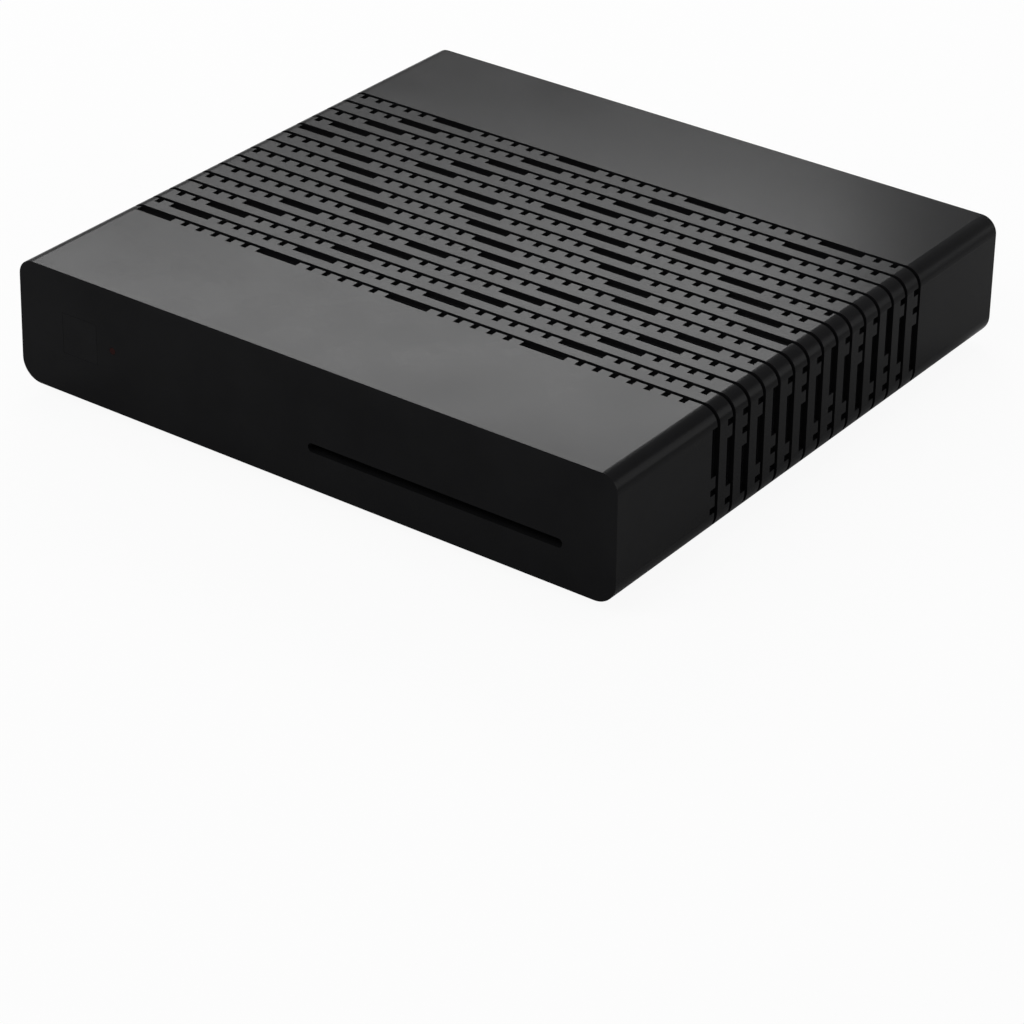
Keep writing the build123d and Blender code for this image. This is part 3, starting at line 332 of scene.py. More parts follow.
# tin-plated steel sheet of the shields: dull silver, slightly brown, fine rolling lines
tinSettings = {
    "name": "tinPlatedSheet", "dark": "#7c7369", "light": "#978d82", "metallic": 1.0, "rough": (0.26, 0.36),
    "grainMm": 0.3, "grainDepthMm": 0.002, "cloudMm": 4.0, "stretch": (0.15, 1.0, 1.0),
}
tinFinish = plainFinish(tinSettings)
for node in ("lan_shield", "usb_bridge", "tuner_frame", "tuner_lid"):
    dress(node, tinFinish)

# the USB shell is sheet steel coloured dark, as painted shade for the shaded depth of its mouths; satin
shadeDarkSheetSettings = {
    "name": "sheetDarkenedAsShade", "dark": "#1b1a19", "light": "#262524", "metallic": 0.6, "rough": (0.3, 0.42),
    "grainMm": 0.3, "grainDepthMm": 0.002, "cloudMm": 4.0,
}
dress("usb_shell", plainFinish(shadeDarkSheetSettings))

# thin gold flash on spring bronze, dulled
goldSettings = {
    "name": "goldFlashedBronze", "dark": "#8d7038", "light": "#a88a4e", "metallic": 1.0, "rough": (0.24, 0.34),
    "grainMm": 0.25, "grainDepthMm": 0.001, "cloudMm": 1.5,
}
dress("card_contacts", plainFinish(goldSettings))

# plain bronze springs of the network and phone sockets, browned
springSettings = dict(goldSettings, name="brownedSpringBronze", dark="#4c4232", light="#6a5c46", rough=(0.3, 0.42))
springFinish = plainFinish(springSettings)
for node in ("lan_contacts", "phone_contacts", "dc_spring"):
    dress(node, springFinish)

# tinned tube in the aerial socket: pale, slightly beige
tinnedSettings = dict(goldSettings, name="tinnedBronze", dark="#a39782", light="#bcb19d")
dress("antenna_contact", plainFinish(tinnedSettings))

# drawn steel can of the crystal
canSettings = {
    "name": "drawnSteelCan", "dark": "#a9abad", "light": "#c2c4c6", "metallic": 1.0, "rough": (0.2, 0.3),
    "grainMm": 0.3, "grainDepthMm": 0.002, "cloudMm": 3.0, "stretch": (1.0, 1.0, 0.1),
}
dress("crystal", plainFinish(canSettings))

# extruded aluminium, left natural: pale, lines along the extrusion
sinkSettings = {
    "name": "extrudedAluminium", "dark": "#b4b6b9", "light": "#cdcfd1", "metallic": 1.0, "rough": (0.3, 0.42),
    "grainMm": 0.35, "grainDepthMm": 0.004, "cloudMm": 5.0, "stretch": (1.0, 0.05, 1.0),
}
dress("heat_sink", plainFinish(sinkSettings))


# ---- plastics of the sockets ----
# black PBT with glass fibre: low gloss, small flow marks
socketSettings = {
    "name": "mouldedBlackPBT", "dark": "#0b0b0c", "light": "#121213", "rough": (0.36, 0.48), "ior": 1.13,
    "grainMm": 0.3, "grainDepthMm": 0.005, "cloudMm": 3.0,
}
socketFinish = plainFinish(socketSettings)
for node in ("av_jack", "hdmi_insert", "lan_insert", "usb_tongues", "phone_jack", "card_reader"):
    dress(node, socketFinish)

# the power inlet is moulded with a smoother face
inletSettings = dict(socketSettings, name="smoothBlackNylon", dark="#0e0e0f", light="#151516", rough=(0.26, 0.34))
dress("dc_jack", plainFinish(inletSettings))

# glass-filled nylon of the switch, semi gloss
switchSettings = {
    "name": "semiGlossBlackNylon", "dark": "#090909", "light": "#0e0e0e", "rough": (0.2, 0.28), "ior": 1.22,
    "grainMm": 0.5, "grainDepthMm": 0.003, "cloudMm": 5.0,
}
dress("switch_housing", plainFinish(switchSettings))

# the same nylon on the rocker, with a pale band along its upper edge as a painted highlight, where the rounded edge
# catches the light from above
rockerSettings = dict(
    switchSettings, name="blackNylonPaintedGlint", paintedGlint="#b9b9b6",
    paintedGlintMm=(5.9, 0.62),        # width and height of the painted highlight band
    paintedGlintDropMm=0.85,           # from the rocker's top to the middle of the band
    paintedGlintSpan=(0.25, 1.0),      # from its thinnest place to its thickest
    speckMm=0.3,
    speckSpan=(0.38, 0.6),
)


def rockerFinish(s):
    # the painted highlight band is where X and Z are both inside it, broken up by a noise
    material = plainFinish(s)
    tree = material.node_tree
    low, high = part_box("switch_rocker")
    shader = [node for node in tree.nodes if node.type == "BSDF_PRINCIPLED"][0]
    place = [node for node in tree.nodes if node.type == "TEX_COORD"][0].outputs["Object"]
    base = shader.inputs["Base Color"].links[0].from_socket
    axes = addNode(tree, "ShaderNodeSeparateXYZ", None, {0: place})
    band = mapped(tree, noiseOf(tree, place, s["speckMm"], detail=2.0, rough=0.6), s["paintedGlintSpan"], s["speckSpan"])
    middleX, middleZ = (low.x + high.x) / 2, high.z - s["paintedGlintDropMm"] * mm
    for k, middle, width in ((0, middleX, s["paintedGlintMm"][0]), (2, middleZ, s["paintedGlintMm"][1])):
        limits = {1: middle, 2: width / 2 * mm}
        inside = addNode(tree, "ShaderNodeMath", limits, {0: axes.outputs[k]}, operation="COMPARE")
        band = addNode(tree, "ShaderNodeMath", None, {0: band, 1: inside}, operation="MULTIPLY")
    tree.links.new(overlaid(tree, band, base, s["paintedGlint"]), shader.inputs["Base Color"])
    return material


dress("switch_rocker", rockerFinish(rockerSettings))

# brownish PTFE plug in the aerial socket: waxy
insulatorSettings = {
    "name": "turnedBrownPTFE", "dark": "#6b6158", "light": "#82776c", "rough": (0.45, 0.6), "specular": 0.4,
    "grainMm": 0.25, "grainDepthMm": 0.004, "cloudMm": 2.0,
}
dress("antenna_insulator", plainFinish(insulatorSettings))

# tinted light guides: olive on one side, and on the other green that turns to brownish red outwards
lampSettings = {
    "name": "tintedLampGuide", "olive": "#5c5620", "green": "#3c3f1c", "red": "#4a261c",
    "fadeMm": (2.4, 0.48),     # green turns to red between these distances from the outer end
    "rough": (0.22, 0.32), "ior": 1.2, "clear": 0.1, "grainMm": 0.4, "grainDepthMm": 0.004,
}


def lampFinish(s):
    material, tree, place = startFinish(s["name"])
    low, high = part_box("lan_lamps")
    axes = addNode(tree, "ShaderNodeSeparateXYZ", None, {0: place})
    side = addNode(tree, "ShaderNodeMath", {1: (low.x + high.x) / 2}, {0: axes.outputs[0]}, operation="LESS_THAN")
    outwards = mapped(tree, axes.outputs[0], wholeSpan, [high.x - fade * mm for fade in s["fadeMm"]])
    colour = overlaid(tree, side, blended(tree, outwards, s["green"], s["red"]), s["olive"])
    grain = noiseOf(tree, place, s["grainMm"])
    shader = addNode(tree, "ShaderNodeBsdfPrincipled", {"IOR": s["ior"], "Transmission Weight": s["clear"]})
    closeFinish(tree, shader, colour, mapped(tree, grain, s["rough"]), [(grain, s["grainDepthMm"])])
    return material


dress("lan_lamps", lampFinish(lampSettings))


# ---- board and parts ----
# solder mask over copper: green, glossy, with tracks that show as a lighter green in low relief
boardSettings = {
    "name": "solderMaskOnCopper",
    "ground": "#0c3a1e",
    "track": "#17562c",
    "rough": (0.3, 0.42),
    "trackPitchMm": 1.27,
    "trackDepthMm": 0.03,
    "trackSpan": (0.62, 0.72),  # edge of a track on the wave
    "bandLength": 0.314,       # of a wave texture at scale 1, in metres
    "bendMm": 14.0,            # the tracks bend over this length
    "swayMm": 20.0,            # and by up to this much
    "coat": (0.6, 0.12),       # weight and roughness
    "grainMm": 0.5,
    "grainDepthMm": 0.003,
}


def boardFinish(s):
    material, tree, place = startFinish(s["name"])
    moved = swayed(tree, place, noiseOf(tree, place, s["bendMm"], detail=0.0), s["swayMm"])
    scale = {"Scale": s["bandLength"] / (s["trackPitchMm"] * mm)}
    wave = addNode(tree, "ShaderNodeTexWave", scale, {"Vector": moved}, bands_direction="DIAGONAL")
    track = mapped(tree, wave, wholeSpan, s["trackSpan"])
    grain = noiseOf(tree, place, s["grainMm"])
    colour = blended(tree, track, s["ground"], s["track"])
    coat = {"Coat Weight": s["coat"][0], "Coat Roughness": s["coat"][1]}
    shader = addNode(tree, "ShaderNodeBsdfPrincipled", coat)
    bumps = [(track, s["trackDepthMm"]), (grain, s["grainDepthMm"])]
    closeFinish(tree, shader, colour, mapped(tree, grain, s["rough"]), bumps)
    return material


dress("main_board", boardFinish(boardSettings))

# moulded epoxy of the chips: matt black-grey, fine filler grain
chipSettings = {
    "name": "mouldedEpoxy", "dark": "#1a1a1c", "light": "#242426", "rough": (0.5, 0.62), "specular": 0.4,
    "grainMm": 0.22, "grainDepthMm": 0.008, "cloudMm": 5.0,
}
chipFinish = plainFinish(chipSettings)
for node in ("processor", "memory_chips", "flash_chip", "regulators", "network_transformer", "infrared_receiver"):
    dress(node, chipFinish)

# sintered ferrite of the coils: dark grey, slightly porous
ferriteSettings = {
    "name": "sinteredFerrite", "dark": "#3a3a3d", "light": "#4d4d50", "rough": (0.5, 0.7), "specular": 0.5,
    "grainMm": 0.3, "grainDepthMm": 0.015, "cloudMm": 2.0,
}
dress("power_coils", plainFinish(ferriteSettings))

# shrink sleeve of the capacitors: dark blue, glossy, tight round the can
sleeveSettings = {
    "name": "shrunkBlueSleeve", "dark": "#141c3a", "light": "#1b2548", "rough": (0.18, 0.28), "coat": 0.3,
    "grainMm": 1.5, "grainDepthMm": 0.006, "cloudMm": 4.0,
}
dress("capacitors", plainFinish(sleeveSettings))

# small surface-mounted lamp, milky epoxy
standbySettings = {
    "name": "milkyLampEpoxy", "dark": "#b9b4a2", "light": "#cfcabb", "rough": (0.2, 0.3), "clear": 0.3,
    "grainMm": 0.5, "grainDepthMm": 0.004, "cloudMm": 1.0,
}
dress("standby_lamp", plainFinish(standbySettings))
print("stage 3: finishes on the packed nodes")


# ---- mesh helpers ----
def pieceFrom(name, points, faces, finish, smooth=False, body="receiver", slot=None):
    # one new piece from points in metres, riding on a body; faces that differ in corners come as a list
    mesh = bpy.data.meshes.new(name)
    mesh.from_pydata(points.tolist(), [], faces if isinstance(faces, list) else faces.tolist())
    mesh.polygons.foreach_set("use_smooth", np.full(len(mesh.polygons), smooth))
    mesh.update()
    piece = bpy.data.objects.new(name, mesh)
    bpy.context.scene.collection.objects.link(piece)
    dress(piece, finish)
    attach(piece, body)
    return piece


def ringFaces(rings, around, start=0):
    # four-cornered faces between each closed ring of points and the next one
    ring, k = np.meshgrid(np.arange(rings - 1), np.arange(around), indexing="ij")
    here, following = ring * around, (ring + 1) * around
    after = (k + 1) % around
    return np.stack([here + k, here + after, following + after, following + k], -1).reshape(-1, 4) + start


def boxesMesh(lows, highs):
    # closed boxes between pairs of corners, as one set of points and faces
    lows, highs = np.atleast_2d(lows), np.atleast_2d(highs)
    corner = np.array([[x, y, z] for x in (0, 1) for y in (0, 1) for z in (0, 1)])
    points = lows[:, None, :] + corner[None] * (highs - lows)[:, None, :]
    sides = np.array([[0, 1, 3, 2], [4, 6, 7, 5], [0, 4, 5, 1], [2, 3, 7, 6], [0, 2, 6, 4], [1, 5, 7, 3]])
    faces = sides[None] + 8 * np.arange(len(lows))[:, None, None]
    return points.reshape(-1, 3), faces.reshape(-1, 4)


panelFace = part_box("rear_panel")[1].y
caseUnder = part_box("top_cover")[0].z

# screen-printed dark grey ink: flat, slightly raised, satin
inkSettings = {
    "name": "screenPrintedInk", "dark": "#2c2c2e", "light": "#3a3a3c", "rough": (0.45, 0.6), "specular": 0.4,
    "grainMm": 0.15, "grainDepthMm": 0.004, "cloudMm": 1.2,
}
inkFinish = plainFinish(inkSettings)


# ---- printed dots ----
dotSettings = {
    "firstColumn": 65.3,       # X of column 0
    "firstPitch": 1.586,       # between the first columns
    "firstCount": 15,
    "pitch": 1.677,            # between all later columns
    "topRow": 25.0,            # height of row 0 above the underside of the case
    "rowPitch": 1.89,
    "radius": 0.34,
    "proud": 0.02,             # ink above the panel
    "sides": 10,
    "runs": [                  # columns that are printed in each row, first and last
        [(9, 11), (34, 72)], [(10, 11), (45, 45), (55, 55), (65, 72)], [(11, 11), (45, 45), (55, 55), (65, 72)],
        [(45, 45), (55, 55), (72, 72)], [(0, 0), (45, 45), (55, 55), (72, 72)],
        [(0, 0), (17, 22), (33, 33), (45, 45), (55, 55), (72, 72)],
        [(0, 1), (19, 22), (33, 33), (45, 45), (55, 55), (72, 72)],
        [(0, 2), (11, 15), (33, 33), (45, 45), (55, 55), (72, 72)],
        [(0, 3), (10, 15), (33, 33), (45, 45), (55, 55), (72, 72)],
        [(0, 15), (23, 24), (32, 33), (45, 47), (53, 55), (72, 73)],
        [(8, 15), (23, 25), (31, 35), (42, 47), (53, 56), (64, 65), (70, 73)],
        [(15, 15), (31, 35), (42, 44), (55, 56), (64, 65), (73, 73)],
        [(15, 19), (45, 57), (63, 65), (72, 73)],
    ],
}


def printedDots(s):
    # a disc at each printed column and row: centre plus radius times (cos, sin), raised by the ink's thickness
    spots = [(column, row) for row, runs in enumerate(s["runs"]) for a, b in runs for column in range(a, b + 1)]
    spots = np.array(spots, float)
    column = spots[:, 0]
    x = s["firstColumn"] - s["firstPitch"] * np.minimum(column, s["firstCount"])
    x -= s["pitch"] * np.maximum(column - s["firstCount"], 0)
    z = s["topRow"] - s["rowPitch"] * spots[:, 1]
    turn = np.arange(s["sides"]) * 2 * np.pi / s["sides"]
    ring = np.stack([x[:, None] + s["radius"] * np.cos(turn), z[:, None] + s["radius"] * np.sin(turn)], -1) * mm
    outer = np.full(ring.shape[:2], panelFace)
    levels = [np.stack([ring[..., 0], outer + height, ring[..., 1] + caseUnder], -1) for height in (0, s["proud"] * mm)]
    points = np.stack(levels, 1).reshape(-1, 3)
    count, n = len(spots), s["sides"]
    k = np.arange(n)
    wall = np.stack([k, (k + 1) % n, (k + 1) % n + n, k + n], -1)
    walls = (wall[None] + 2 * n * np.arange(count)[:, None, None]).reshape(-1, 4)
    caps = k[None] + n + 2 * n * np.arange(count)[:, None]
    pieceFrom("printedDots", points, walls[:, ::-1].tolist() + caps[:, ::-1].tolist(), inkFinish)


printedDots(dotSettings)


# ---- printed frames round the bare label places ----
frameSettings = {
    "boxes": [                 # X of both sides, heights above the case's underside, corner radius
        (46.6, 39.8, 13.6, 25.6, 1.0),
        (38.3, 11.6, 16.3, 25.6, 1.3),
    ],
    "line": 0.32,
    "proud": 0.02,
    "steps": 10,               # points per corner
}


def roundedRing(x0, x1, z0, z1, radius, steps):
    # outline of a rounded rectangle: four quarter circles of the radius, joined by straight runs
    quarter = np.pi / 2
    left, right, low, high = x0 + radius, x1 - radius, z0 + radius, z1 - radius
    corners = []
    for k, (x, z) in enumerate([(right, high), (left, high), (left, low), (right, low)]):
        turn = np.linspace(0, quarter, steps) + k * quarter
        corners.append(np.stack([x + radius * np.cos(turn), z + radius * np.sin(turn)], -1))
    return np.concatenate(corners)


def bandsRound(s, profile):
    # a profile of (share of the line's width outwards, height) pairs carried round each outline
    points, faces = [], []
    start = 0
    for left, right, low, high, radius in s["boxes"]:
        rings = []
        for share, height in profile:
            out = share * s["line"]
            ring = roundedRing(right - out, left + out, low - out, high + out, radius + out, s["steps"])
            level = np.full(len(ring), panelFace + height * mm)
            rings.append(np.column_stack([ring[:, 0] * mm, level, ring[:, 1] * mm + caseUnder]))
        points += rings
        faces.append(ringFaces(len(rings), len(rings[0]), start))
        start += len(rings) * len(rings[0])
    return np.concatenate(points), np.concatenate(faces)


# flat ink with straight flanks
flatLine = [(0.5, 0.0), (0.5, frameSettings["proud"]), (-0.5, frameSettings["proud"]), (-0.5, 0.0)]
pieceFrom("printedFrames", *bandsRound(frameSettings, flatLine), inkFinish)


# ---- port numerals and the direct-current mark ----
numeralSettings = {
    "height": 2.1,             # of a figure
    "heightShare": 0.7,        # of a figure in its font size
    "bolder": 0.01,            # its outline is moved outwards by this
    "curveSteps": 3,
    "proud": 0.02,
    "places": [                # figure, X of its middle, height of its foot above the case's underside
        ("1", 62.6, 4.6), ("2", 37.8, 4.3), ("3", 20.6, 5.0), ("4", 1.3, 4.6),
        ("5", -17.4, 6.0), ("6", -34.0, 4.6), ("7", -49.0, 4.6),
    ],
}


def portNumerals(s):
    # each figure as a mesh; seen from behind, its x runs to -X and its thickness to +Y
    points, faces = [], []
    start = 0
    for figure, x, z in s["places"]:
        curve = bpy.data.curves.new("figure", "FONT")
        curve.body, curve.align_x, curve.fill_mode = figure, "CENTER", "BOTH"
        curve.size, curve.extrude = s["height"] * mm / s["heightShare"], s["proud"] * mm / 2
        curve.offset, curve.resolution_u = s["bolder"] * mm, s["curveSteps"]
        text = bpy.data.objects.new("figure", curve)
        mesh = bpy.data.meshes.new_from_object(text)
        flat = np.zeros(len(mesh.vertices) * 3)
        mesh.vertices.foreach_get("co", flat)
        flat = flat.reshape(-1, 3)
        level = panelFace + s["proud"] * mm / 2
        points.append(np.stack([x * mm - flat[:, 0], level + flat[:, 2], caseUnder + z * mm + flat[:, 1]], -1))
        faces += [[v + start for v in polygon.vertices] for polygon in mesh.polygons]
        start += len(flat)
        bpy.data.objects.remove(text)
        bpy.data.curves.remove(curve)
        bpy.data.meshes.remove(mesh)
    pieceFrom("portNumerals", np.concatenate(points), faces, inkFinish)


portNumerals(numeralSettings)

directCurrentSettings = {
    "x": -46.2,
    "z": 5.6,                  # of the long bar's lower side
    "length": 1.9,
    "shorts": 4.2,             # times a short bar goes into the long one
    "line": 0.28,
    "gap": 0.62,
    "proud": 0.02,
}


def directCurrentMark(s):
    # one bar over three short ones
    short = s["length"] / s["shorts"]
    lows = [(s["x"] - s["length"] / 2, 0, s["z"])]
    highs = [(s["x"] + s["length"] / 2, s["proud"], s["z"] + s["line"])]
    for k in (-1, 0, 1):
        middle = s["x"] + k * (s["length"] - short) / 2
        lows.append((middle - short / 2, 0, s["z"] - s["gap"]))
        highs.append((middle + short / 2, s["proud"], s["z"] - s["gap"] + s["line"]))
    shift = np.array([0, panelFace, caseUnder])
    points, faces = boxesMesh(np.array(lows) * mm + shift, np.array(highs) * mm + shift)
    pieceFrom("directCurrentMark", points, faces, inkFinish)


directCurrentMark(directCurrentSettings)
print("stage 4: printing on the rear panel")


# ---- threaded barrel of the aerial socket ----
barrelSettings = {
    "pitch": 0.794,            # 32 threads to the inch
    "threadDepth": 0.42,
    "threadStart": (1.0, 0.6),  # from the panel, and the length over which it grows
    "threadEnd": 0.8,          # length over which it dies out before the chamfer
    "waveFlat": (1.25, 0.1),   # slope and drop of the wave, which flatten root and crest
    "radius": 4.76,
    "neckRadius": 4.6,
    "flatHalf": 2.4,
    "flatStart": 3.2,          # from the panel, where the nut ends
    "flatEnd": 7.2,
    "flatTurn": 0.2,           # the flat cuts where the cosine of the turn from its middle is past this
    "reach": 14.0,
    "tipRadius": 4.1,
    "chamfer": 1.1,
    "bore": 2.95,
    "boreChamfer": 0.25,
    "boreDepth": 11.0,
    "flangeRadius": 6.0,
    "flange": 1.6,
    "sheet": 1.0,
    "around": 144,
    "along": 170,
}


def threadedBarrel(s):
    # radius along the barrel: flange, then a helical thread r - depth * wave(y / pitch - turn),
    # cut by a flat, then mouth and bore
    low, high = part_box("antenna_nut")
    centre = (low + high) / 2
    turn = np.linspace(0, 2 * np.pi, s["around"], endpoint=False)
    body = np.linspace(0.0, s["reach"] - s["chamfer"], s["along"])
    y, t = np.meshgrid(body, turn, indexing="ij")
    wave = np.abs(((y / s["pitch"] - t / (2 * np.pi)) % 1.0) * 2 - 1)
    slope, drop = s["waveFlat"]
    grown = (y - s["threadStart"][0]) / s["threadStart"][1]
    fade = np.clip((s["reach"] - s["chamfer"] - y) / s["threadEnd"], 0, 1) * np.clip(grown, 0, 1)
    crest = np.where(y < s["flatEnd"], s["neckRadius"], s["radius"])
    r = crest - s["threadDepth"] * np.clip(wave * slope - drop, 0, 1) * fade
    limit = np.sqrt(s["neckRadius"] ** 2 - s["flatHalf"] ** 2)
    onFlat = (y > s["flatStart"]) & (y < s["flatEnd"]) & (np.cos(t) < -s["flatTurn"])
    r = np.where(onFlat, np.minimum(r, limit / np.maximum(-np.cos(t), s["flatTurn"])), r)
    front, back, floor = s["reach"], -s["sheet"] - s["flange"], s["reach"] - s["boreDepth"]
    flange = [(back, 0.0), (back, s["flangeRadius"]), (-s["sheet"], s["flangeRadius"]), (-s["sheet"], s["neckRadius"])]
    mouth = [(front, s["tipRadius"]), (front, s["bore"] + s["boreChamfer"]), (front - s["boreChamfer"], s["bore"]),
             (floor, s["bore"]), (floor, 0.0)]
    startY, startR = [column[:, None] * np.ones(s["around"]) for column in np.array(flange).T]
    endY, endR = [column[:, None] * np.ones(s["around"]) for column in np.array(mouth).T]
    y, r = np.concatenate([startY, y, endY]), np.concatenate([startR, r, endR])
    points = np.stack([centre.x + r * np.cos(turn) * mm, panelFace + y * mm, centre.z + r * np.sin(turn) * mm], -1)
    faces = ringFaces(len(y), s["around"])
    piece = pieceFrom("threadedBarrel", points.reshape(-1, 3), faces, nickelFinish, True, "receiver", "nickel")
    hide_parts("antenna_barrel")


threadedBarrel(barrelSettings)


# ---- contacts on the tongues ----
contactSettings = {
    "usbPitch": 2.25, "usbWidth": 1.0, "usbLength": 7.0, "usbCount": 4, "usbInset": 0.4,
    "usbUnder": 3.1,           # from the top of the upper mouth to the underside of its tongue
    "usbMouths": 8.7,          # from one mouth to the other
    "hdmiPitch": 0.5, "hdmiWidth": 0.27, "hdmiLength": 6.5, "hdmiCount": 19, "hdmiInset": 0.3,
    "hdmiHalf": 0.55,          # half the tongue's thickness
    "proud": 0.06,
}


def tongueContacts(s):
    # flat strips under each USB tongue, and on both sides of the HDMI tongue
    lows, highs = [], []
    low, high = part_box("usb_tongues")
    x0 = (low.x + high.x) / 2
    front = high.y - s["usbInset"] * mm
    upper = high.z - s["usbUnder"] * mm
    for top in (upper, upper - s["usbMouths"] * mm):
        for k in range(s["usbCount"]):
            x = x0 + (k - (s["usbCount"] - 1) / 2) * s["usbPitch"] * mm
            lows.append((x - s["usbWidth"] / 2 * mm, front - s["usbLength"] * mm, top - s["proud"] * mm))
            highs.append((x + s["usbWidth"] / 2 * mm, front, top))
    low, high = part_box("hdmi_insert")
    x0, z0 = (low.x + high.x) / 2, (low.z + high.z) / 2
    front = high.y - s["hdmiInset"] * mm
    for side in (-1, 1):
        count = s["hdmiCount"] // 2 + (side > 0)
        for k in range(count):
            x = x0 + (k - (count - 1) / 2) * 2 * s["hdmiPitch"] * mm
            z = z0 + side * s["hdmiHalf"] * mm
            lows.append((x - s["hdmiWidth"] / 2 * mm, front - s["hdmiLength"] * mm, min(z, z + side * s["proud"] * mm)))
            highs.append((x + s["hdmiWidth"] / 2 * mm, front, max(z, z + side * s["proud"] * mm)))
    points, faces = boxesMesh(lows, highs)
    pieceFrom("tongueContacts", points, faces, springFinish, False, "receiver", "contact_gold")


tongueContacts(contactSettings)


# ---- pin of the power inlet ----
pinSettings = {"radius": 1.0, "round": 0.4, "cup": 0.36, "cupDepth": 0.8, "cupChamfer": 0.06, "around": 48, "steps": 8}


def cuppedPin(s):
    # a turned profile: straight flank, quarter circle (radius - round + round * cos, end - round + round * sin),
    # flat ring, cup
    low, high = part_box("dc_pin")
    centre, length = (low + high) / 2, (high.y - low.y) / mm
    turn = np.linspace(0, np.pi / 2, s["steps"])
    across = s["radius"] - s["round"] + s["round"] * np.cos(turn)
    along = length - s["round"] + s["round"] * np.sin(turn)
    rim, floor = length - s["cupChamfer"], length - s["cupDepth"]
    r = np.concatenate([[0.0, s["radius"]], across, [s["cup"] + s["cupChamfer"], s["cup"], s["cup"], 0.0]])[:, None]
    y = np.concatenate([[0.0, 0.0], along, [length, rim, floor, floor]])[:, None]
    t = np.linspace(0, 2 * np.pi, s["around"], endpoint=False)
    points = np.stack([centre.x + r * np.cos(t) * mm, low.y + y * mm + 0 * t, centre.z + r * np.sin(t) * mm], -1)
    faces = ringFaces(len(r), s["around"])
    piece = pieceFrom("cuppedPin", points.reshape(-1, 3), faces, nickelFinish, True, "receiver", "nickel")
    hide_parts("dc_pin")


cuppedPin(pinSettings)


# ---- plug springs of the network socket ----
plugSpringSettings = {
    "mouth": 12.7,             # width between the two springs
    "level": 7.15,             # of their middle above the shield's underside
    "height": 2.3,
    "bend": 0.25,              # outer radius
    "sheet": 0.14,
    "leg": 3.0,
    "lean": 0.5,
    "steps": 12,
}

# tin on the pressed edges, a little brighter than the flat sheet as a painted highlight where the bead catches the
# light
beadTinHighlightSettings = dict(tinSettings, name="pressedTinPaintedHighlight", dark="#aba197", light="#c2b9ae", rough=(0.3, 0.4))

# bright tin, paler than the sheet as a painted highlight on the springs' folds
paleTinGlintSettings = dict(tinSettings, name="tinPaintedGlint", dark="#d6d1c8", light="#e8e3da", metallic=0.7, rough=(0.3, 0.4))


def plugSprings(s):
    # a strip folded over the mouth's edge: half circle of the bend's radius, then a leg that leans inwards,
    # swept up the height
    low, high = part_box("lan_shield")
    x0, z0 = (low.x + high.x) / 2, low.z + s["level"] * mm
    turn = np.linspace(0, np.pi, s["steps"])
    bend, inside = s["bend"], s["bend"] - s["sheet"]
    outer = np.stack([bend * (1 + np.cos(turn)), bend * np.sin(turn)], -1)
    inner = np.stack([bend + inside * np.cos(turn), inside * np.sin(turn)], -1)
    tips = np.array([[-s["lean"], -s["leg"]], [-s["lean"] + s["sheet"], -s["leg"]]])
    profile = np.concatenate([outer, tips, inner[::-1]])
    n = len(profile)
    points, faces = [], []
    for k, side in enumerate((-1, 1)):
        flat = np.stack([x0 + side * (s["mouth"] / 2 + profile[:, 0]) * mm, high.y + profile[:, 1] * mm], -1)
        levels = [z0 - s["height"] / 2 * mm, z0 + s["height"] / 2 * mm]
        points += [np.column_stack([flat, np.full(n, z)]) for z in levels]
        wall = ringFaces(2, n, 2 * n * k)
        half = np.arange(n // 2 - 1)
        cap = np.stack([half, half + 1, n - 2 - half, n - 1 - half], -1) + 2 * n * k
        parts = [wall, cap[:, ::-1], cap + n]
        faces += [part if side < 0 else part[:, ::-1] for part in parts]
    points, faces = np.concatenate(points), np.concatenate(faces)
    pieceFrom("plugSprings", points, faces, plainFinish(paleTinGlintSettings), False, "receiver", "shield_tin")


plugSprings(plugSpringSettings)


# ---- pressed edge of the network socket's shield ----
beadSettings = {
    "boxes": [(8.62, -6.22, 8.58, 21.62, 0.5)],  # as for the printed frames
    "line": 0.34,
    "proud": 0.1,
    "steps": 6,                # points per corner
    "arcPoints": 7,            # across the bead
}
# half an ellipse, as wide as the line and proud high
bulge = np.linspace(0, np.pi, beadSettings["arcPoints"])
halfRound = list(zip(np.cos(bulge) / 2, beadSettings["proud"] * np.sin(bulge)))
points, faces = bandsRound(beadSettings, halfRound)
# the bead's paler tin is a painted highlight along the shield's edge
pieceFrom("shieldBead", points, faces, plainFinish(beadTinHighlightSettings), True, "receiver", "shield_tin")


# ---- mark on the rocker ----
markSettings = {
    "width": 2.1,
    "height": 0.45,
    "share": 0.31,             # of the rocker's half height, from its middle up to the bar
    "proud": 0.03,
    "standOff": 10.0,          # where the rays start
}

# white pad-printed ink
whiteInkSettings = dict(inkSettings, name="padPrintedWhite", dark="#b9babb", light="#d0d1d2")


def rockerMark(s):
    # a flat bar laid on the dished face, found by a ray from outside
    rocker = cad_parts["switch_rocker"]
    low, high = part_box("switch_rocker")
    x0 = (low.x + high.x) / 2
    z0 = low.z + (high.z - low.z) * (0.5 + s["share"] / 2)
    inner, outer = [], []
    for dx, dz in ((-1, -1), (1, -1), (1, 1), (-1, 1)):
        x, z = x0 + dx * s["width"] / 2 * mm, z0 + dz * s["height"] / 2 * mm
        place, normal = rocker.ray_cast(Vector((x, high.y + s["standOff"] * mm, z)), Vector((0, -1, 0)))[1:3]
        inner.append(place)
        outer.append(place + normal * s["proud"] * mm)
    points = np.array([tuple(p) for p in inner + outer])
    faces = np.array([[4, 7, 6, 5], [0, 1, 5, 4], [1, 2, 6, 5], [2, 3, 7, 6], [3, 0, 4, 7]])
    pieceFrom("rockerMark", points, faces, plainFinish(whiteInkSettings), False, "rocker")


rockerMark(markSettings)
print("stage 5: socket and switch details")


